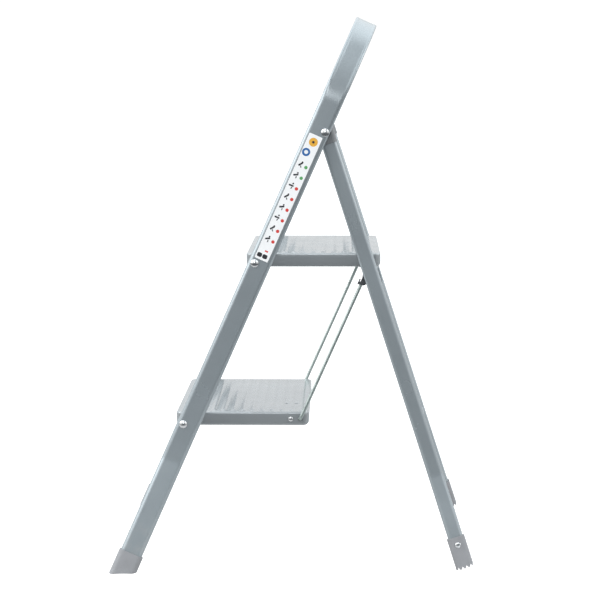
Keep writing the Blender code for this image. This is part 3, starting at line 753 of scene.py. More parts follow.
@dataclass
class Workbench:
    """The finishes, and the last steps that every piece goes through."""

    finishes: dict[Slot, bpy.types.Material]
    made: list[str] = field(default_factory=list)

    def add(
        self, name: str, shape: BMesh, slot: Slot, body: str, nodes: tuple[str, ...] = (),
        mirrored: bool = False, material: bpy.types.Material | None = None, sharp: float = 35.0,
    ) -> bpy.types.Object:
        """Turn a shape in the ladder's own axes into a dressed piece.

        Args:
            name: the piece's name.
            shape: its mesh, in place on the right-hand side; it is freed.
            slot: the record's finish slot.
            body: the body that it rides on.
            nodes: the CAD nodes that it stands for.
            mirrored: True to reflect it to the left.
            material: a material of its own, or None for the slot's.
            sharp: the angle in degrees past which an edge stays crisp.

        Returns:
            The new object.
        """
        if mirrored:
            moved(shape, MIRROR_X)
            bmesh.ops.reverse_faces(shape, faces=shape.faces)
        mesh = bpy.data.meshes.new(name)
        shape.to_mesh(mesh)
        shape.free()
        mesh.materials.append(material or self.finishes[slot])
        mesh.shade_smooth()
        mesh.set_sharp_from_angle(angle=math.radians(sharp))
        piece = bpy.data.objects.new(name, mesh)
        bpy.context.scene.collection.objects.link(piece)
        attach(piece, body)
        if nodes:
            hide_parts(*nodes)
        self.made.append(name)
        log.info("%s rides on %s", name, body)
        return piece

    def stand_in(
        self, node: str, work: str, shape: BMesh, slot: Slot, body: str, side: Side
    ) -> bpy.types.Object:
        """Add the piece that stands for one node of a side, and return it."""
        return self.add(f"{node}_{work}", shape, slot, body, (node,), side is Side.LEFT)

    def dress_copy(self, node: str, slot: Slot, body: str, ease: float) -> None:
        """Add a CAD node's own shape with its edges eased."""
        piece = self.add(node + "_eased", node_copy(node), slot, body, (node,))
        ease_edges(piece, ease)
        settle_normals(piece)


def ease_edges(piece: bpy.types.Object, width: float, segments: int = 2) -> None:
    """Round off the piece's crisp edges a little."""
    modifier = piece.modifiers.new("eased", "BEVEL")
    modifier.width = width
    modifier.segments = segments
    modifier.profile = 0.5
    modifier.limit_method = "ANGLE"
    modifier.angle_limit = math.radians(32)
    modifier.use_clamp_overlap = True
    modifier.miter_outer = "MITER_ARC"


def settle_normals(piece: bpy.types.Object) -> None:
    """Keep flat faces flat beside their rounded edges."""
    modifier = piece.modifiers.new("flat", "WEIGHTED_NORMAL")
    modifier.mode = "FACE_AREA"
    modifier.weight = 80
    modifier.keep_sharp = True


def dome(head: float, rise: float, lip: float, steps: int = 10) -> list[Point]:
    """Return a rivet head's profile from its crown down to its underside.

    Args:
        head: the head's radius.
        rise: the crown's height above the underside.
        lip: the height of the head's thin upright edge.
        steps: the points of the crown's arc.

    Returns:
        Points of (radius, height); the underside lies at height 0.
    """
    crown = rise - lip
    sphere = (head * head + crown * crown) / (2 * crown)
    limit = math.asin(head / sphere)
    points = []
    for index in range(steps + 1):
        angle = limit * index / steps
        points.append((sphere * math.sin(angle), rise - sphere * (1 - math.cos(angle))))
    return points + [(head, lip * 0.35), (head - lip * 0.35, 0.0)]


@dataclass(frozen=True)
class Rivet:
    """A solid rivet: a domed head outside, a shank, and a set tail inside."""

    head: float
    rise: float
    shank: float
    tail: float
    tail_rise: float

    def shape(self, grip: float) -> BMesh:
        """Return the rivet with its head's underside at 0, pointing up.

        Args:
            grip: the length of the shank under the head.

        Returns:
            A closed turned solid.
        """
        profile = dome(self.head, self.rise, 0.0005)
        ease = self.tail_rise * 0.35
        profile += [(self.shank, 0.0), (self.shank, -grip), (self.tail - ease, -grip)]
        profile += [(self.tail, -grip - ease), (self.tail, -grip - self.tail_rise + ease)]
        profile += [(self.tail - ease, -grip - self.tail_rise)]
        profile += [(self.tail * 0.42, -grip - self.tail_rise)]
        return turned_shape(profile + [(0.0, -grip - self.tail_rise * 0.72)])


# Front frame --------------------------------------------------------------------------
@dataclass
class FrontFrame:
    """The bent front tube with its feet, rivets and step bushes."""

    bench: Workbench
    flare: Flare
    tube: Tube = Tube(0.0150, 0.0320, 0.0060)
    outer_x: float = 0.1930
    offset: float = -0.0095
    end: float = 0.6730
    hoop_rise: float = 0.1605
    hoop_radius: float = 0.1190
    bend_sink: float = 0.0013
    ridge_share: float = 0.5
    foot_top: float = 0.6567
    foot_proud: float = 0.0020
    foot_stock: float = 0.0600
    sole_round: float = 0.0012
    sole_arch: float = 0.0008
    sole_margin: float = 0.0050
    groove_pitch: float = 0.0062
    groove: Triple = (0.0120, 0.0018, 0.0020)
    skirt_inner_x: float = 0.1485
    leg_inner_x: float = 0.1585
    pan_half_width: float = 0.1500
    hinge_rivet: Rivet = Rivet(0.0056, 0.0022, 0.0030, 0.0052, 0.0016)
    step_rivet: Rivet = Rivet(0.0056, 0.0024, 0.0025, 0.0050, 0.0015)
    bush: Point = (0.0045, 0.0028)

    @property
    def centre_x(self) -> float:
        """The rail tube's centre line, right of the middle."""
        return self.outer_x - self.tube.thickness / 2

    def build(self) -> None:
        """Build every piece of the front frame."""
        self.build_tube()
        for side in Side:
            self.build_foot(side)
            self.build_fasteners(side)

    def build_tube(self) -> None:
        """Draw the one tube that makes both rails and the hand hoop."""
        foot_x = self.centre_x + (self.end - self.flare.start) * math.tan(self.flare.angle)
        start = Vector((-foot_x, self.offset, -self.end))
        bender = TubeBender(self.tube.ring(), start, self.flare.angle)
        upright = self.flare.start + self.hoop_rise - self.flare.reach - self.hoop_radius
        bender.straight(self.flare.run(self.end), 3)
        bender.bend(-self.flare.angle, self.flare.radius, 6)
        bender.straight(upright, 6)
        bender.bend(QUARTER, self.hoop_radius, 36)
        bender.straight(2 * (self.centre_x - self.hoop_radius), 2)
        bender.bend(QUARTER, self.hoop_radius, 36)
        bender.straight(upright, 6)
        bender.bend(-self.flare.angle, self.flare.radius, 6)
        bender.straight(self.flare.run(self.end), 3)
        shape = thickened(moved(self.set_bends(bender.open()), RAIL.matrix), self.tube.wall)
        holes = []
        for hand in (-1, 1):
            spot = RAIL.at(hand * self.centre_x, 0.0, 0.0)
            holes.append((spot, self.hinge_rivet.shank + GAP, DRILL))
            for pivot in (UPPER_PIVOT, LOWER_PIVOT):
                spot = Matrix.Translation((hand * self.centre_x, pivot.y, pivot.z))
                holes.append((spot, self.step_rivet.shank + GAP, DRILL))
        shape = drilled(shape, holes)
        nodes = ("front_tube",)
        piece = self.bench.add("front_tube_bent", shape, Slot.GREY_ENAMEL, "front_frame", nodes)
        settle_normals(piece)

    def set_bends(self, shape: BMesh) -> BMesh:
        """Sink the stretched outer wall of the hoop's bends a little and sharpen its ridges.

        Args:
            shape: the tube in the rail datum.

        Returns:
            The same mesh.
        """
        reach = self.centre_x - self.hoop_radius
        springing = self.hoop_rise - self.hoop_radius
        for point in shape.verts:
            core = Vector((max(-reach, min(reach, point.co.x)), springing))
            arm = Vector((point.co.x, point.co.z)) - core
            turned = math.atan2(arm.y, abs(arm.x)) if arm.length > 0 else 0.0
            share = smooth_step(math.radians(-1.0), math.radians(16.0), turned)
            past = max(0.0, reach - abs(point.co.x)) / reach
            share *= 1.0 - 0.6 * smooth_step(0.1, 0.9, past)
            out = arm.length - self.hoop_radius
            if share <= 0.0 or out <= 0.0:
                continue
            across = (point.co.y - self.offset) / (self.tube.width / 2)
            squared = self.ridge(out, across)
            sink = self.bend_sink * share * (1.0 - across * across) * (out / (self.tube.thickness / 2))
            reached = arm.normalized() * (self.hoop_radius + out + (squared - out) * share - sink)
            point.co.x = core.x + reached.x
            point.co.z = core.y + reached.y
        return shape

    def ridge(self, out: float, across: float) -> float:
        """Return how far out a point stands once the section's round corner is squared up."""
        half = self.tube.thickness / 2
        inset = self.tube.corner / (self.tube.width / 2)
        share = max(0.0, (abs(across) - 1.0 + inset) / inset)
        round_out = half - self.tube.corner * (1.0 - math.sqrt(max(0.0, 1.0 - share * share)))
        tight = self.tube.corner * self.ridge_share
        share = max(0.0, share * self.tube.corner - self.tube.corner + tight) / tight
        square_out = half - tight * (1.0 - math.sqrt(max(0.0, 1.0 - share * share)))
        return out * square_out / round_out if round_out > half - self.tube.corner + 1e-6 else out

    def build_foot(self, side: Side) -> None:
        """Mould a front foot: a sleeve round the rail with a level, arched sole."""
        place = self.flare.place(RAIL, self.centre_x, self.foot_top, self.offset)
        shape = self.level_sole(moved(self.tube.sleeve(self.foot_proud, self.foot_stock), place))
        depth = (self.end - self.foot_top) / math.cos(self.flare.angle) + GAP
        shape = cut(shape, moved(self.tube.bore(depth), place))
        shape = self.sole_grip(shape)
        name = "front_foot_" + side.value
        piece = self.bench.stand_in(name, "moulded", shape, Slot.GREY_PLASTIC, "front_frame", side)
        ease_edges(piece, 0.0007, 3)
        settle_normals(piece)

    def level_sole(self, shape: BMesh) -> BMesh:
        """Cut the sleeve off level with the floor and close the cut."""
        bmesh.ops.bisect_plane(
            shape, geom=shape.verts[:] + shape.edges[:] + shape.faces[:], dist=0.0000001,
            plane_co=(0, 0, 0), plane_no=(0, 0, -1), clear_outer=True,
        )
        bmesh.ops.holes_fill(shape, edges=shape.edges, sides=0)
        bmesh.ops.recalc_face_normals(shape, faces=shape.faces)
        rim = [edge for edge in shape.edges if all(end.co.z < 1e-6 for end in edge.verts)]
        round_edges(shape, rim, self.sole_round, 5)
        return shape

    def sole_grip(self, shape: BMesh) -> BMesh:
        """Arch the sole a little and run grip grooves across it."""
        low = Vector(min(v.co[i] for v in shape.verts) for i in range(3))
        high = Vector(max(v.co[i] for v in shape.verts if v.co.z < 0.001) for i in range(3))
        middle = (low + high) / 2
        span = high.y - low.y - 2 * self.sole_margin
        radius = span * span / (8 * self.sole_arch) + self.sole_arch / 2
        drum = round_bar(radius, 0.060, 256)
        place = Matrix.Translation((middle.x, middle.y, self.sole_arch - radius))
        shape = cut(shape, moved(drum, place))
        for index in range(-1, 2):
            spot = Vector((middle.x, middle.y + index * self.groove_pitch, 0.0))
            half = Vector(self.groove) / 2
            half.z = self.groove[2]
            shape = cut(shape, block(spot - half, spot + half))
        return shape

    def build_fasteners(self, side: Side) -> None:
        """Build the hinge rivet, the step rivets and the step bushes of one side."""
        face = self.outer_x + GAP
        inner_x = self.outer_x - self.tube.thickness
        name = "hinge_rivet_" + side.value
        shape = self.hinge_rivet.shape(face - self.leg_inner_x + GAP)
        moved(shape, RAIL.lathe(face, 0.0, 0.0))
        self.bench.stand_in(name, "set", shape, Slot.BRIGHT_STEEL, "front_frame", side)
        for level, pivot in (("upper", UPPER_PIVOT), ("lower", LOWER_PIVOT)):
            spot = Datum(Vector((0.0, pivot.y, pivot.z)), -RAIL_LEAN)
            name = f"step_rivet_{level}_{side.value}"
            shape = self.step_rivet.shape(face - self.skirt_inner_x + GAP)
            moved(shape, spot.lathe(face, 0.0, 0.0))
            self.bench.stand_in(name, "set", shape, Slot.BRIGHT_STEEL, "front_frame", side)
            name = f"step_bush_{level}_{side.value}"
            half = (inner_x - self.pan_half_width) / 2 - GAP
            shape = turned_shape(eased_section(*self.bush, half, 0.0004), closed=True)
            moved(shape, spot.lathe((inner_x + self.pan_half_width) / 2, 0.0, 0.0))
            self.bench.stand_in(name, "turned", shape, Slot.PALE_PLASTIC, "front_frame", side)


class Ink(Enum):
    """The printed colours of the side label."""

    AMBER = (0.80, 0.42, 0.05)
    BLUE = (0.03, 0.14, 0.38)
    GREEN = (0.10, 0.36, 0.12)
    RED = (0.66, 0.06, 0.05)
    BLACK = (0.03, 0.03, 0.035)
    WHITE = (0.86, 0.87, 0.88)


@dataclass
class SideLabel:
    """The white film on the right rail, with plain coloured spots and bars in rows."""

    bench: Workbench
    film: float = 0.00016
    ink: float = 0.00005
    corner: float = 0.0015
    rows: int = 8
    allowed_rows: int = 2
    first_row: float = 0.046
    row_pitch: float = 0.0163

    def __post_init__(self) -> None:
        """Take the film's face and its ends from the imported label, in the rail datum."""
        self.face_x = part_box("side_label")[0].x
        packed = frame["nodes"]["side_label"].data.vertices
        ends = [RAIL.matrix.inverted() @ Vector(v.co) for v in packed]
        self.front = min(end.y for end in ends)
        self.back = max(end.y for end in ends)
        self.top = max(end.z for end in ends)
        self.bottom = min(end.z for end in ends)

    def build(self) -> None:
        """Build the film and its print."""
        self.build_film()
        self.build_print()

    def spot(self, along: float, across: float, lift: float) -> Matrix:
        """Return the transform of a mark.

        Args:
            along: the distance from the film's top edge.
            across: the share of the film's width, 0 at its front edge.
            lift: the height of the mark's foot on the rail.

        Returns:
            A transform whose Z points out of the rail and whose X runs to the back.
        """
        y = self.front + across * (self.back - self.front)
        turn = Matrix.Rotation(QUARTER, 4, "Y") @ Matrix.Rotation(QUARTER, 4, "Z")
        return RAIL.at(self.face_x + lift, y, self.top - along) @ turn

    def build_film(self) -> None:
        """Cut the film with round corners."""
        width = self.back - self.front
        height = self.top - self.bottom
        shape = raise_plate(rounded_plate(width, height, self.corner), self.film)
        moved(shape, self.spot(height / 2, 0.5, 0.0))
        self.bench.add("side_label_film", shape, Slot.WHITE_LABEL, "front_frame", ("side_label",))

    def disc(self, radius: float, along: float, across: float, lift: float) -> BMesh:
        """Return a printed spot."""
        shape = bmesh.new()
        bmesh.ops.create_circle(shape, cap_ends=True, segments=32, radius=radius)
        return moved(raise_plate(shape, self.ink), self.spot(along, across, lift))

    def bar(self, size: Point, along: float, across: float, turn: float) -> BMesh:
        """Return a printed bar with round corners."""
        shape = raise_plate(rounded_plate(*size, min(size) * 0.3, 3), self.ink)
        moved(shape, Matrix.Rotation(turn, 4, "Z"))
        return moved(shape, self.spot(along, across, self.film))

    def build_print(self) -> None:
        """Lay the inks on the film, one piece for each colour."""
        over = self.film + self.ink
        marks: dict[Ink, list[BMesh]] = {colour: [] for colour in Ink}
        marks[Ink.AMBER].append(self.disc(0.0062, 0.0105, 0.52, self.film))
        marks[Ink.BLACK].append(self.disc(0.0018, 0.0105, 0.52, over))
        marks[Ink.BLUE].append(self.disc(0.0058, 0.0270, 0.33, self.film))
        marks[Ink.WHITE].append(self.disc(0.0028, 0.0270, 0.33, over))
        black = marks[Ink.BLACK]
        for row in range(self.rows):
            along = self.first_row + row * self.row_pitch
            lean = 0.9 - 0.45 * (row % 3)
            black.append(self.bar((0.0072, 0.0024), along - 0.0006, 0.32, lean))
            black.append(self.bar((0.0030, 0.0014), along + 0.0026, 0.40, lean + 1.2))
            black.append(self.disc(0.0012, along - 0.0040, 0.40, self.film))
            ink = Ink.GREEN if row < self.allowed_rows else Ink.RED
            marks[ink].append(self.disc(0.0024, along + 0.0010, 0.76, self.film))
        foot = self.top - self.bottom - 0.0062
        black += [self.bar((0.0070, 0.0062), foot, across, 0.0) for across in (0.26, 0.66)]
        marks[Ink.RED].append(self.bar((0.0050, 0.0022), foot - 0.0078, 0.62, 0.0))
        for ink, shapes in marks.items():
            film = PrintedFilm("ink_" + ink.name.lower(), ink.value, 0.3)
            self.bench.add(
                "label_print_" + ink.name.lower(), gathered(shapes), Slot.WHITE_LABEL, "front_frame",
                material=film.make(),
            )


# Rear frame ---------------------------------------------------------------------------
@dataclass
class RearFrame:
    """The two rear legs with their caps, feet, bars and rod clips."""

    bench: Workbench
    flare: Flare
    tube: Tube = Tube(0.0150, 0.0220, 0.0050)
    inner_x: float = 0.1600
    top: float = 0.0105
    cap_top: float = 0.0135
    cap_bottom: float = 0.0170
    cap_proud: float = 0.0015
    cap_round: float = 0.0050
    rail_inner_x: float = 0.1780
    washer: Point = (0.0080, 0.0033)
    foot_top: float = 0.6070
    foot_proud: float = 0.0020
    foot_floor: float = 0.0060
    teeth: int = 5
    tooth_tip: float = 0.30
    tooth_root: float = 0.35
    tooth_depth: float = 0.0035
    heel_cut: Point = (0.0014, 0.0038)
    comb_stock: float = 0.0200
    eyelet_down: float = 0.6190
    eyelet_shank: float = 0.0028
    eyelet_head: float = 0.0044
    eyelet_bore: float = 0.0018
    eyelet_seat: float = 0.0008
    eyelet_seat_radius: float = 0.0048
    eyelet_flange: float = 0.0009
    bar_down: float = 0.2250
    bar_offset: float = 0.0055
    bar_radius: float = 0.0040
    brace_down: float = 0.4800
    brace_radius: float = 0.0080
    weld_bead: float = 0.0011
    weld_run: float = 0.0024

    @property
    def centre_x(self) -> float:
        """The right leg's centre line."""
        return self.inner_x + self.tube.thickness / 2

    @property
    def foot_bottom(self) -> float:
        """How far down the leg its foot's front tooth meets the floor."""
        front = self.tube.width / 2 + self.foot_proud
        return (HINGE.z - front * math.sin(LEG_LEAN)) / math.cos(LEG_LEAN)

    def build(self) -> None:
        """Build every piece of the rear frame."""
        self.build_bars()
        for side in Side:
            self.build_leg(side)
            self.build_cap(side)
            self.build_foot(side)
            self.build_eyelet(side)
            self.build_clip(side)

    def build_leg(self, side: Side) -> None:
        """Draw one leg, kicked outwards near the floor."""
        start = Vector((self.centre_x, 0.0, self.top))
        bender = TubeBender(self.tube.ring(), start, math.pi)
        bender.straight(self.top + self.flare.start - self.flare.reach, 8)
        bender.bend(-self.flare.angle, self.flare.radius, 6)
        bender.straight(self.flare.run(self.foot_bottom - self.foot_floor), 2)
        name = "rear_leg_" + side.value
        shape = moved(bender.open(), LEG.matrix)
        piece = self.bench.stand_in(name, "bent", shape, Slot.GREY_ENAMEL, "rear_frame", side)
        add_wall(piece, self.tube.wall)
        settle_normals(piece)

    def build_bars(self) -> None:
        """Build the rest bar and the lower brace, with a weld bead at each end."""
        half = self.inner_x - GAP
        for name, radius, y, z in (
            ("rest_bar", self.bar_radius, self.bar_offset, -self.bar_down),
            ("rear_brace", self.brace_radius, 0.0, -self.brace_down),
        ):
            crest = radius + self.weld_bead
            profile = [(radius * 0.7, half), (crest, half), (crest, half - self.weld_run * 0.29)]
            profile += [(radius + self.weld_bead * 0.45, half - self.weld_run * 0.71)]
            profile += [(radius, half - self.weld_run)]
            lower = [(r, -h) for r, h in reversed(profile)]
            shape = turned_shape([(0.0, half)] + profile + lower + [(0.0, -half)])
            shape = moved(shape, LEG.lathe(0.0, y, z))
            self.bench.add(name + "_welded", shape, Slot.GREY_ENAMEL, "rear_frame", (name,))

    def build_cap(self, side: Side) -> None:
        """Mould the cap on a leg's top end, and turn the washer beside it."""
        name = "hinge_cap_" + side.value
        tall = self.cap_top + self.cap_bottom
        shape = self.tube.sleeve(self.cap_proud, tall)
        crown = [edge for edge in shape.edges if all(end.co.z > -1e-6 for end in edge.verts)]
        round_edges(shape, crown, self.cap_round, 8)
        base = [face for face in shape.faces if all(abs(v.co.z + tall) < 1e-6 for v in face.verts)]
        bmesh.ops.delete(shape, geom=base, context="FACES_ONLY")
        shape = moved(shape, LEG.at(self.centre_x, 0.0, self.cap_top))
        piece = self.bench.stand_in(name, "moulded", shape, Slot.PALE_PLASTIC, "rear_frame", side)
        add_wall(piece, self.cap_proud - GAP)
        ease_edges(piece, 0.0003)
        settle_normals(piece)
        room = self.rail_inner_x - self.centre_x - self.tube.thickness / 2 - self.cap_proud
        name = "hinge_washer_" + side.value
        section = eased_section(*self.washer, room / 2 - GAP, 0.0001)
        shape = turned_shape(section, closed=True)
        shape = moved(shape, LEG.lathe(self.rail_inner_x - room / 2, 0.0, 0.0))
        self.bench.stand_in(name, "turned", shape, Slot.BLACK_PLASTIC, "rear_frame", side)

    def comb(self) -> list[Point]:
        """Return the outline that cuts the teeth and the heel, in the leg datum's YZ plane."""
        width = self.tube.width + 2 * self.foot_proud
        pitch = width / (self.teeth - 1 + self.tooth_tip)
        floor = -self.foot_bottom
        points = [(-width, floor), (-width / 2 + pitch * self.tooth_tip, floor)]
        for index in range(1, self.teeth):
            left = -width / 2 + pitch * index
            points.append((left - pitch * self.tooth_root, floor + self.tooth_depth))
            points += [(left, floor), (left + pitch * self.tooth_tip, floor)]
        points[-1] = (width / 2 - self.heel_cut[0], floor)
        heel = floor + self.heel_cut[1]
        points += [(width / 2 + 0.0001, heel), (width, heel)]
        return points + [(width, floor - self.comb_stock), (-width, floor - self.comb_stock)]

    def build_foot(self, side: Side) -> None:
        """Mould a rear foot: a sleeve with a toothed sole and seats for its hollow rivet."""
        place = self.flare.place(LEG, self.centre_x, self.foot_top, 0.0)
        tall = (self.foot_bottom - self.foot_top) / math.cos(self.flare.angle)
        shape = moved(self.tube.sleeve(self.foot_proud, tall + self.foot_floor), place)
        depth = tall - self.foot_floor / math.cos(self.flare.angle) + GAP
        shape = cut(shape, moved(self.tube.bore(depth), place))
        middle = self.centre_x + (self.foot_top - self.flare.start) * math.tan(self.flare.angle)
        comb = outline_solid(self.comb(), middle - 0.050, middle + 0.050)
        shape = cut(shape, moved(comb, LEG.matrix))
        spot = self.flare.place(LEG, self.centre_x, self.eyelet_down, 0.0)
        shape = cut(shape, moved(round_bar(self.eyelet_shank + GAP, 0.060), spot))
        reach = self.tube.thickness / 2 + self.foot_proud - self.eyelet_seat
        for face in (-1, 1):
            seat = round_bar(self.eyelet_seat_radius, 2 * OVERRUN)
            moved(seat, Matrix.Translation((face * (reach + OVERRUN), 0.0, 0.0)))
            shape = cut(shape, moved(seat, spot))
        name = "rear_foot_" + side.value
        piece = self.bench.stand_in(name, "moulded", shape, Slot.GREY_PLASTIC, "rear_frame", side)
        ease_edges(piece, 0.0005, 3)
        settle_normals(piece)

    def build_eyelet(self, side: Side) -> None:
        """Turn the hollow rivet that holds a rear foot."""
        half = self.tube.thickness / 2 + self.foot_proud - self.eyelet_seat + GAP
        crest = half + self.eyelet_flange
        lip = half + self.eyelet_flange * 0.45
        bore, head = self.eyelet_bore, self.eyelet_head
        outer = [(bore + 0.0001, crest - 0.0003), (bore + 0.0005, crest), (head - 0.0010, crest)]
        outer += [(head - 0.0003, lip + 0.0001), (head, lip - 0.0002), (head, half)]
        outer += [(self.eyelet_shank, half)]
        inner = [(radius, -height) for radius, height in reversed(outer)]
        name = "foot_rivet_" + side.value
        shape = turned_shape(outer + inner + [(bore, -half), (bore, half)], closed=True)
        spot = self.flare.place(LEG, self.centre_x, self.eyelet_down, 0.0)
        shape = moved(shape, spot @ Matrix.Rotation(QUARTER, 4, "Y"))
        self.bench.stand_in(name, "rolled", shape, Slot.BRIGHT_STEEL, "rear_frame", side)

    def build_clip(self, side: Side) -> None:
        """Dress the plastic hook that catches a link rod, and its flush rivet."""
        self.bench.dress_copy("rod_clip_" + side.value, Slot.BLACK_PLASTIC, "rear_frame", 0.0004)
        self.bench.dress_copy("clip_rivet_" + side.value, Slot.BRIGHT_STEEL, "rear_frame", 0.0001)


# Treads -------------------------------------------------------------------------------
@dataclass
class Tread:
    """A pressed step: a ribbed sheet with rolled skirts, on its brackets."""

    bench: Workbench
    node: str
    body: str
    pivot: Vector
    bracket: str
    bracket_rivet: str
    corner: float = 0.0090
    rim: float = 0.0025
    sheet: float = 0.0015
    rib_pitch: float = 0.0140
    rib_count: int = 13
    rib_half_width: float = 0.0050
    rib_rise: float = 0.0012
    end_margin: float = 0.0100
    side_hem: float = 0.0028
    end_hem: float = 0.0060
    hem_return: float = 0.0012
    rivet_back: float = 0.1518
    pivot_hole: float = 0.0028
    rivet_hole: float = 0.0021
    rod_hole: float = 0.0029
    dimples: tuple[Point, ...] = ()
    dimple_radius: float = 0.0054
    dimple_depth: float = 0.0013
    rivet: Rivet = Rivet(0.0034, 0.0013, 0.0018, 0.0032, 0.0010)
    bracket_sheet: float = 0.0030

    def __post_init__(self) -> None:
        """Take the pan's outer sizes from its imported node."""
        self.low, self.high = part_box(self.node)
        self.middle = (self.low + self.high) / 2
        self.half_x = (self.high.x - self.low.x) / 2
        self.half_y = (self.high.y - self.low.y) / 2
        self.plate_top = self.high.z - self.rib_rise

    def build(self) -> None:
        """Build the pan and its hardware."""
        self.build_pan()
        for side in Side:
            self.build_bracket(side)

    def core_point(self, x: float, y: float) -> Vector:
        """Return the nearest point of the rectangle that the round corners turn about."""
        across = self.half_x - self.corner
        along = self.half_y - self.corner
        return Vector((max(-across, min(across, x)), max(-along, min(along, y))))

    def press_ribs(self, x: float, y: float) -> float:
        """Return how far the press lifts the sheet at a place on the tread."""
        reach = self.half_x - self.end_margin - self.rib_half_width
        limit = (self.rib_count - 1) // 2
        row = max(-limit, min(limit, round(y / self.rib_pitch)))
        beyond = max(0.0, abs(x) - reach)
        share = math.hypot(beyond, y - row * self.rib_pitch) / self.rib_half_width
        return self.rib_rise * math.cos(min(1.0, share) * QUARTER) ** 2

    def round_corner(self, x: float, y: float) -> Point:
        """Draw a point near a square corner in to the round one."""
        core = self.core_point(x, y)
        out = Vector((x, y)) - core
        if abs(out.x) < 1e-9 or abs(out.y) < 1e-9:
            return x, y
        far = max(abs(out.x), abs(out.y))
        out.normalize()
        return core.x + out.x * far, core.y + out.y * far

    def skirt_profile(self, facing: Vector) -> list[Point]:
        """Return the skirt's section below the flat, as (outwards, height) pairs.

        Args:
            facing: the skirt's outward direction in plan.

        Returns:
            Points from the top rim, down the skirt and round the rolled hem.
        """
        hem = self.side_hem + (self.end_hem - self.side_hem) * facing.y ** 2
        flat = self.corner
        points = []
        for index in range(1, 6):
            angle = QUARTER * index / 5
            drop = self.rim * (1 - math.cos(angle))
            points.append((flat - self.rim * (1 - math.sin(angle)), self.plate_top - drop))
        start = self.plate_top - self.rim
        stop = self.low.z + hem
        for index in range(1, 4):
            points.append((flat, start + (stop - start) * index / 3))
        for index in range(1, 7):
            angle = QUARTER * index / 6
            points.append((flat - hem * (1 - math.cos(angle)), self.low.z + hem * (1 - math.sin(angle))))
        points.append((flat - hem - self.hem_return, self.low.z))
        return points

    def build_pan(self) -> None:
        """Press the ribs in a sheet, then draw its rim down into rolled skirts."""
        shape = bmesh.new()
        bmesh.ops.create_grid(shape, x_segments=132, y_segments=150, size=1.0)
        flat = (self.half_x - self.rim, self.half_y - self.rim, 1.0)
        bmesh.ops.scale(shape, verts=shape.verts, vec=flat)
        for point in shape.verts:
            lift = self.press_ribs(point.co.x, point.co.y)
            x, y = self.round_corner(point.co.x, point.co.y)
            point.co = (x, y, self.plate_top + lift)
        rim = [edge for edge in shape.edges if edge.is_boundary]
        stations = len(self.skirt_profile(Vector((1.0, 0.0))))
        for station in range(stations):
            fresh, rim = drawn_rim(shape, rim)
            for point in fresh:
                core = self.core_point(point.co.x, point.co.y)
                facing = (Vector(point.co.xy) - core).normalized()
                out, height = self.skirt_profile(facing)[station]
                point.co = (*(core + facing * out), height)
        bmesh.ops.recalc_face_normals(shape, faces=shape.faces)
        moved(shape, Matrix.Translation((self.middle.x, self.middle.y, 0.0)))
        shape = thickened(shape, self.sheet)
        rod_back = (ROD_PIVOT - LOWER_PIVOT).y
        holes = []
        for hand in (-1, 1):
            for back, radius in (
                (0.0, self.pivot_hole), (self.rivet_back, self.rivet_hole), (rod_back, self.rod_hole),
            ):
                spot = Matrix.Translation((hand * self.half_x, self.pivot.y + back, self.pivot.z))
                holes.append((spot, radius, DRILL))
        shape = drilled(shape, holes)
        for x, y in self.dimples:
            punch = bmesh.new()
            bmesh.ops.create_uvsphere(punch, u_segments=24, v_segments=16, radius=self.dimple_radius)
            up = self.plate_top + self.dimple_radius - self.dimple_depth
            place = Matrix.Translation((self.middle.x + x, self.middle.y + y, up))
            shape = cut(shape, moved(punch, place))
        self.bench.add(self.node + "_pressed", shape, Slot.PAN_ENAMEL, self.body, (self.node,))

    def build_bracket(self, side: Side) -> None:
        """Dress a bracket inside the skirt and set its small rivet."""
        self.bench.dress_copy(self.bracket + side.value, Slot.GREY_ENAMEL, self.body, 0.0003)
        name = self.bracket_rivet + side.value
        grip = self.sheet + self.bracket_sheet + 3 * GAP
        spot = Datum(self.pivot)
        shape = moved(self.rivet.shape(grip), spot.lathe(self.half_x + GAP, self.rivet_back, 0.0))
        self.bench.stand_in(name, "set", shape, Slot.BRIGHT_STEEL, self.body, side)


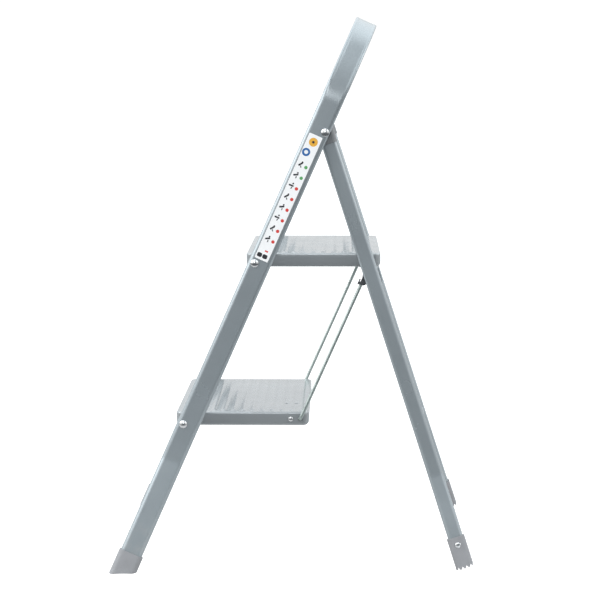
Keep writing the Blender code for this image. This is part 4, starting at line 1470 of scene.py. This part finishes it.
@dataclass
class LinkRods:
    """The two bent wires that tie the treads together, with their push nuts."""

    bench: Workbench
    radius: float = 0.0025
    x: float = 0.1550
    end_x: float = 0.1422
    bend: float = 0.0050
    nut_radius: float = 0.0046
    nut_half: float = 0.0007
    bracket_face_x: float = 0.1452

    def build(self) -> None:
        """Build both rods and their nuts."""
        for side in Side:
            self.build_rod(side)
            self.build_nuts(side)

    def build_rod(self, side: Side) -> None:
        """Bend one rod: a straight wire with both ends turned in."""
        section = bmesh.new()
        bmesh.ops.create_circle(section, cap_ends=False, segments=24, radius=self.radius)
        turned_in = self.x - self.end_x - self.bend
        bender = TubeBender(section, Vector((self.end_x, 0.0, 0.0)), QUARTER)
        bender.straight(turned_in)
        bender.bend(-QUARTER, self.bend, 10)
        bender.straight(RISE.length - 2 * self.bend, 12)
        bender.bend(-QUARTER, self.bend, 10)
        bender.straight(turned_in)
        name = "link_rod_" + side.value
        shape = moved(bender.closed(), ROD.matrix)
        body = "link_" + side.value
        piece = self.bench.stand_in(name, "bent", shape, Slot.ZINC_WIRE, body, side)
        ease_edges(piece, 0.0004)

    def build_nuts(self, side: Side) -> None:
        """Press a dished push nut on each end of a rod."""
        face = self.bracket_face_x - GAP - self.nut_half
        rim, bore, half = self.nut_radius, self.radius, self.nut_half
        section = [
            (rim - 0.0003, -half), (rim, -half + 0.0003), (rim, half * 0.2), (rim * 0.8, half * 0.6),
            (bore + 0.0008, half), (bore + GAP, half * 0.7), (bore + GAP, -half * 0.3),
            (bore + 0.0010, -half),
        ]
        for level, height in (("lower", 0.0), ("upper", RISE.length)):
            name = f"rod_nut_{level}_{side.value}"
            shape = turned_shape(section, closed=True)
            moved(shape, ROD.lathe(face, 0.0, height, outwards=False))
            body = "link_" + side.value
            self.bench.stand_in(name, "pressed", shape, Slot.BRIGHT_STEEL, body, side)


# Studio -------------------------------------------------------------------------------
@dataclass(frozen=True)
class Softbox:
    """A flat studio light that faces a point on the ladder."""

    name: str
    place: Triple
    size: Point
    power: float
    aim: Triple = (0.0, 0.0, 0.4)

    def hang(self) -> None:
        """Hang the light."""
        data = bpy.data.lights.new(self.name, "AREA")
        data.shape = "RECTANGLE"
        data.size, data.size_y = self.size
        data.energy = self.power
        lamp = bpy.data.objects.new(self.name, data)
        lamp.location = self.place
        ray = Vector(self.aim) - Vector(self.place)
        lamp.rotation_euler = ray.to_track_quat("-Z", "Y").to_euler()
        bpy.context.scene.collection.objects.link(lamp)


@dataclass
class Studio:
    """The pale floor, the soft light and the camera.

    The floor ends beside the ladder and glows for the camera alone, so that the backdrop is plain
    white while the flat sides of the tubes still mirror a dim room. The room is bright at the back
    and overhead, with a leaning dark gap behind the camera.
    """

    floor_radius: float = 30.0
    floor_edge: float = 0.55
    floor_tone: float = 0.32
    floor_glow: Point = (0.22, 0.95)
    back_wall: float = 0.85
    side_wall: Point = (0.0, 0.40)
    ceiling: Colour = (1.90, 2.00, 2.06)
    camera_wall: Colour = (0.29, 0.315, 0.335)
    outer_floor: Colour = (0.15, 0.16, 0.17)
    gap: Point = (0.40, 0.05)
    gap_lean: float = 0.34
    gap_shift: float = 0.05
    camera_place: Triple = (2.8575, 0.0646, 0.7085)
    camera_yaw: float = 1.1148
    camera_pitch: float = 6.847
    camera_roll: float = -0.073
    lens: float = 114.36
    boxes: tuple[Softbox, ...] = (
        Softbox("key", (0.95, -1.45, 1.35), (1.0, 1.4), 10.0),
        Softbox("front_wall", (0.10, -2.2, 1.9), (1.8, 1.8), 20.0, (0.0, 0.0, 0.65)),
        Softbox("rear_wall", (0.20, 2.3, 1.9), (1.8, 1.8), 16.0, (0.0, 0.0, 0.65)),
        Softbox("high_camera", (3.30, -0.05, 1.45), (0.60, 0.70), 9.0, (0.19, 0.0, 0.3)),
    )

    def build(self) -> None:
        """Build the whole studio."""
        self.lay_floor()
        self.light_room()
        for box in self.boxes:
            box.hang()
        self.set_camera()

    def lay_floor(self) -> None:
        """Lay the plain pale floor."""
        shape = bmesh.new()
        bmesh.ops.create_circle(shape, cap_ends=True, segments=256, radius=self.floor_radius)
        away = self.floor_edge - self.floor_radius
        bmesh.ops.translate(shape, verts=shape.verts, vec=(away, 0.0, 0.0))
        mesh = bpy.data.meshes.new("studio_floor")
        shape.to_mesh(mesh)
        shape.free()
        bench = CoatBench("studio_floor")
        shade = bench.span(bench.noise(0.8, 2.0), MIDTONES, FULL)
        tones = [(tone, tone, tone) for tone in (self.floor_tone, self.floor_tone + 0.01)]
        bench.feed("Base Color", bench.blend(shade, *tones))
        bench.set(Roughness=0.9)
        seen = bench.tree.nodes.new("ShaderNodeLightPath")
        glow = bench.span(seen.outputs["Is Camera Ray"], (0.0, 1.0), self.floor_glow)
        bench.feed("Emission Strength", glow)
        bench.shader.inputs["Emission Color"].default_value = (1.0, 1.0, 1.0, 1.0)
        mesh.materials.append(bench.material)
        floor = bpy.data.objects.new("studio_floor", mesh)
        bpy.context.scene.collection.objects.link(floor)

    def light_room(self) -> None:
        """Light the room: bright walls and ceiling, a dark side behind the camera, a white backdrop."""
        scene = bpy.context.scene
        world = bpy.data.worlds.new("studio_room")
        world.use_nodes = True
        scene.world = world
        tree = world.node_tree
        bench = NodeBench(tree, "Generated")
        height = bench.height("Z")
        side = bench.calc("ABSOLUTE", bench.height("Y"))
        rise = bench.span(height, (-0.05, 0.45), self.side_wall)
        flank = bench.calc("MULTIPLY", bench.span(side, (0.15, 0.60), (0.0, 1.0)), rise)
        wall = bench.calc("ADD", flank, self.back_wall)
        room = bench.blend(bench.span(height, (0.15, 0.75), (0.0, 1.0)), wall, self.ceiling)
        leaning = bench.calc("SUBTRACT", bench.height("Y"), bench.calc("MULTIPLY", height, self.gap_lean))
        leaning = bench.calc("SUBTRACT", leaning, self.gap_shift)
        width = bench.span(height, (0.05, 0.40), self.gap)
        beyond = bench.calc("SUBTRACT", bench.calc("ABSOLUTE", leaning), width)
        inside = bench.span(beyond, (0.0, 0.12), (1.0, 0.0))
        near = bench.span(bench.height("X"), (-0.35, 0.0), (0.0, 1.0))
        room = bench.blend(bench.calc("MULTIPLY", inside, near), room, self.camera_wall)
        below = bench.calc("MULTIPLY", bench.span(height, (-0.25, -0.02), (1.0, 0.0)), near)
        room = bench.blend(below, room, self.outer_floor)
        glow = tree.nodes.new("ShaderNodeBackground")
        tree.links.new(room, glow.inputs["Color"])
        backdrop = tree.nodes["Background"]
        backdrop.inputs["Color"].default_value = (1.0, 1.0, 1.0, 1.0)
        backdrop.inputs["Strength"].default_value = 1.05
        seen = tree.nodes.new("ShaderNodeLightPath")
        mixer = tree.nodes.new("ShaderNodeMixShader")
        tree.links.new(seen.outputs["Is Camera Ray"], mixer.inputs["Fac"])
        tree.links.new(glow.outputs["Background"], mixer.inputs[1])
        tree.links.new(backdrop.outputs["Background"], mixer.inputs[2])
        tree.links.new(mixer.outputs["Shader"], tree.nodes["World Output"].inputs["Surface"])
        scene.view_settings.view_transform = "Standard"

    def set_camera(self) -> None:
        """Stand the camera off the right-hand side, with a long lens."""
        data = bpy.data.cameras.new("studio_camera")
        data.lens = self.lens
        data.sensor_width = 36.0
        camera = bpy.data.objects.new("studio_camera", data)
        yaw = math.radians(self.camera_yaw)
        pitch = math.radians(self.camera_pitch)
        level = math.cos(pitch)
        ahead = -Vector((level * math.cos(yaw), level * math.sin(yaw), math.sin(pitch)))
        turn = ahead.to_track_quat("-Z", "Y").to_matrix().to_4x4()
        roll = Matrix.Rotation(math.radians(self.camera_roll), 4, "Z")
        camera.matrix_world = Matrix.Translation(self.camera_place) @ turn @ roll
        bpy.context.scene.collection.objects.link(camera)
        bpy.context.scene.camera = camera


def make_finishes() -> dict[Slot, bpy.types.Material]:
    """Return the material of each finish slot."""
    recipes = {
        Slot.GREY_ENAMEL: Enamel("grey_enamel_coat", (0.315, 0.352, 0.372), 0.24),
        Slot.PAN_ENAMEL: Enamel("pan_enamel_coat", (0.318, 0.340, 0.352), 0.22, 0.42, 0.007, 0.002),
        Slot.ZINC_WIRE: DrawnWire("zinc_wire_drawn", (0.40, 0.455, 0.44), 0.34, RAIL_LEAN),
        Slot.BRIGHT_STEEL: PlatedSteel("bright_steel_plate", (0.66, 0.67, 0.68), 0.14),
        Slot.GREY_PLASTIC: MouldedPlastic("grey_plastic_moulded", (0.240, 0.244, 0.256), 0.55),
        Slot.PALE_PLASTIC: MouldedPlastic("pale_plastic_moulded", (0.205, 0.214, 0.222), 0.48),
        Slot.BLACK_PLASTIC: MouldedPlastic("black_plastic_moulded", (0.055, 0.06, 0.068), 0.42),
        Slot.WHITE_LABEL: PrintedFilm("white_label_film", (0.93, 0.935, 0.94)),
    }
    return {slot: recipe.make() for slot, recipe in recipes.items()}


def main() -> None:
    """Build the ladder's looks, sub-assembly by sub-assembly."""
    logging.basicConfig(level=logging.INFO, format="%(message)s")
    bench = Workbench(make_finishes())
    flare = Flare()
    Studio().build()
    FrontFrame(bench, flare).build()
    SideLabel(bench).build()
    RearFrame(bench, flare).build()
    Tread(
        bench, "platform_pan", "platform", UPPER_PIVOT, "platform_hook_", "hook_rivet_"
    ).build()
    Tread(
        bench, "lower_step_pan", "lower_step", LOWER_PIVOT, "step_bracket_", "bracket_rivet_",
        dimples=((0.078, 0.063), (0.078, 0.077)),
    ).build()
    LinkRods(bench).build()
    log.info("%d pieces made", len(bench.made))


if __name__ == "__main__":
    main()
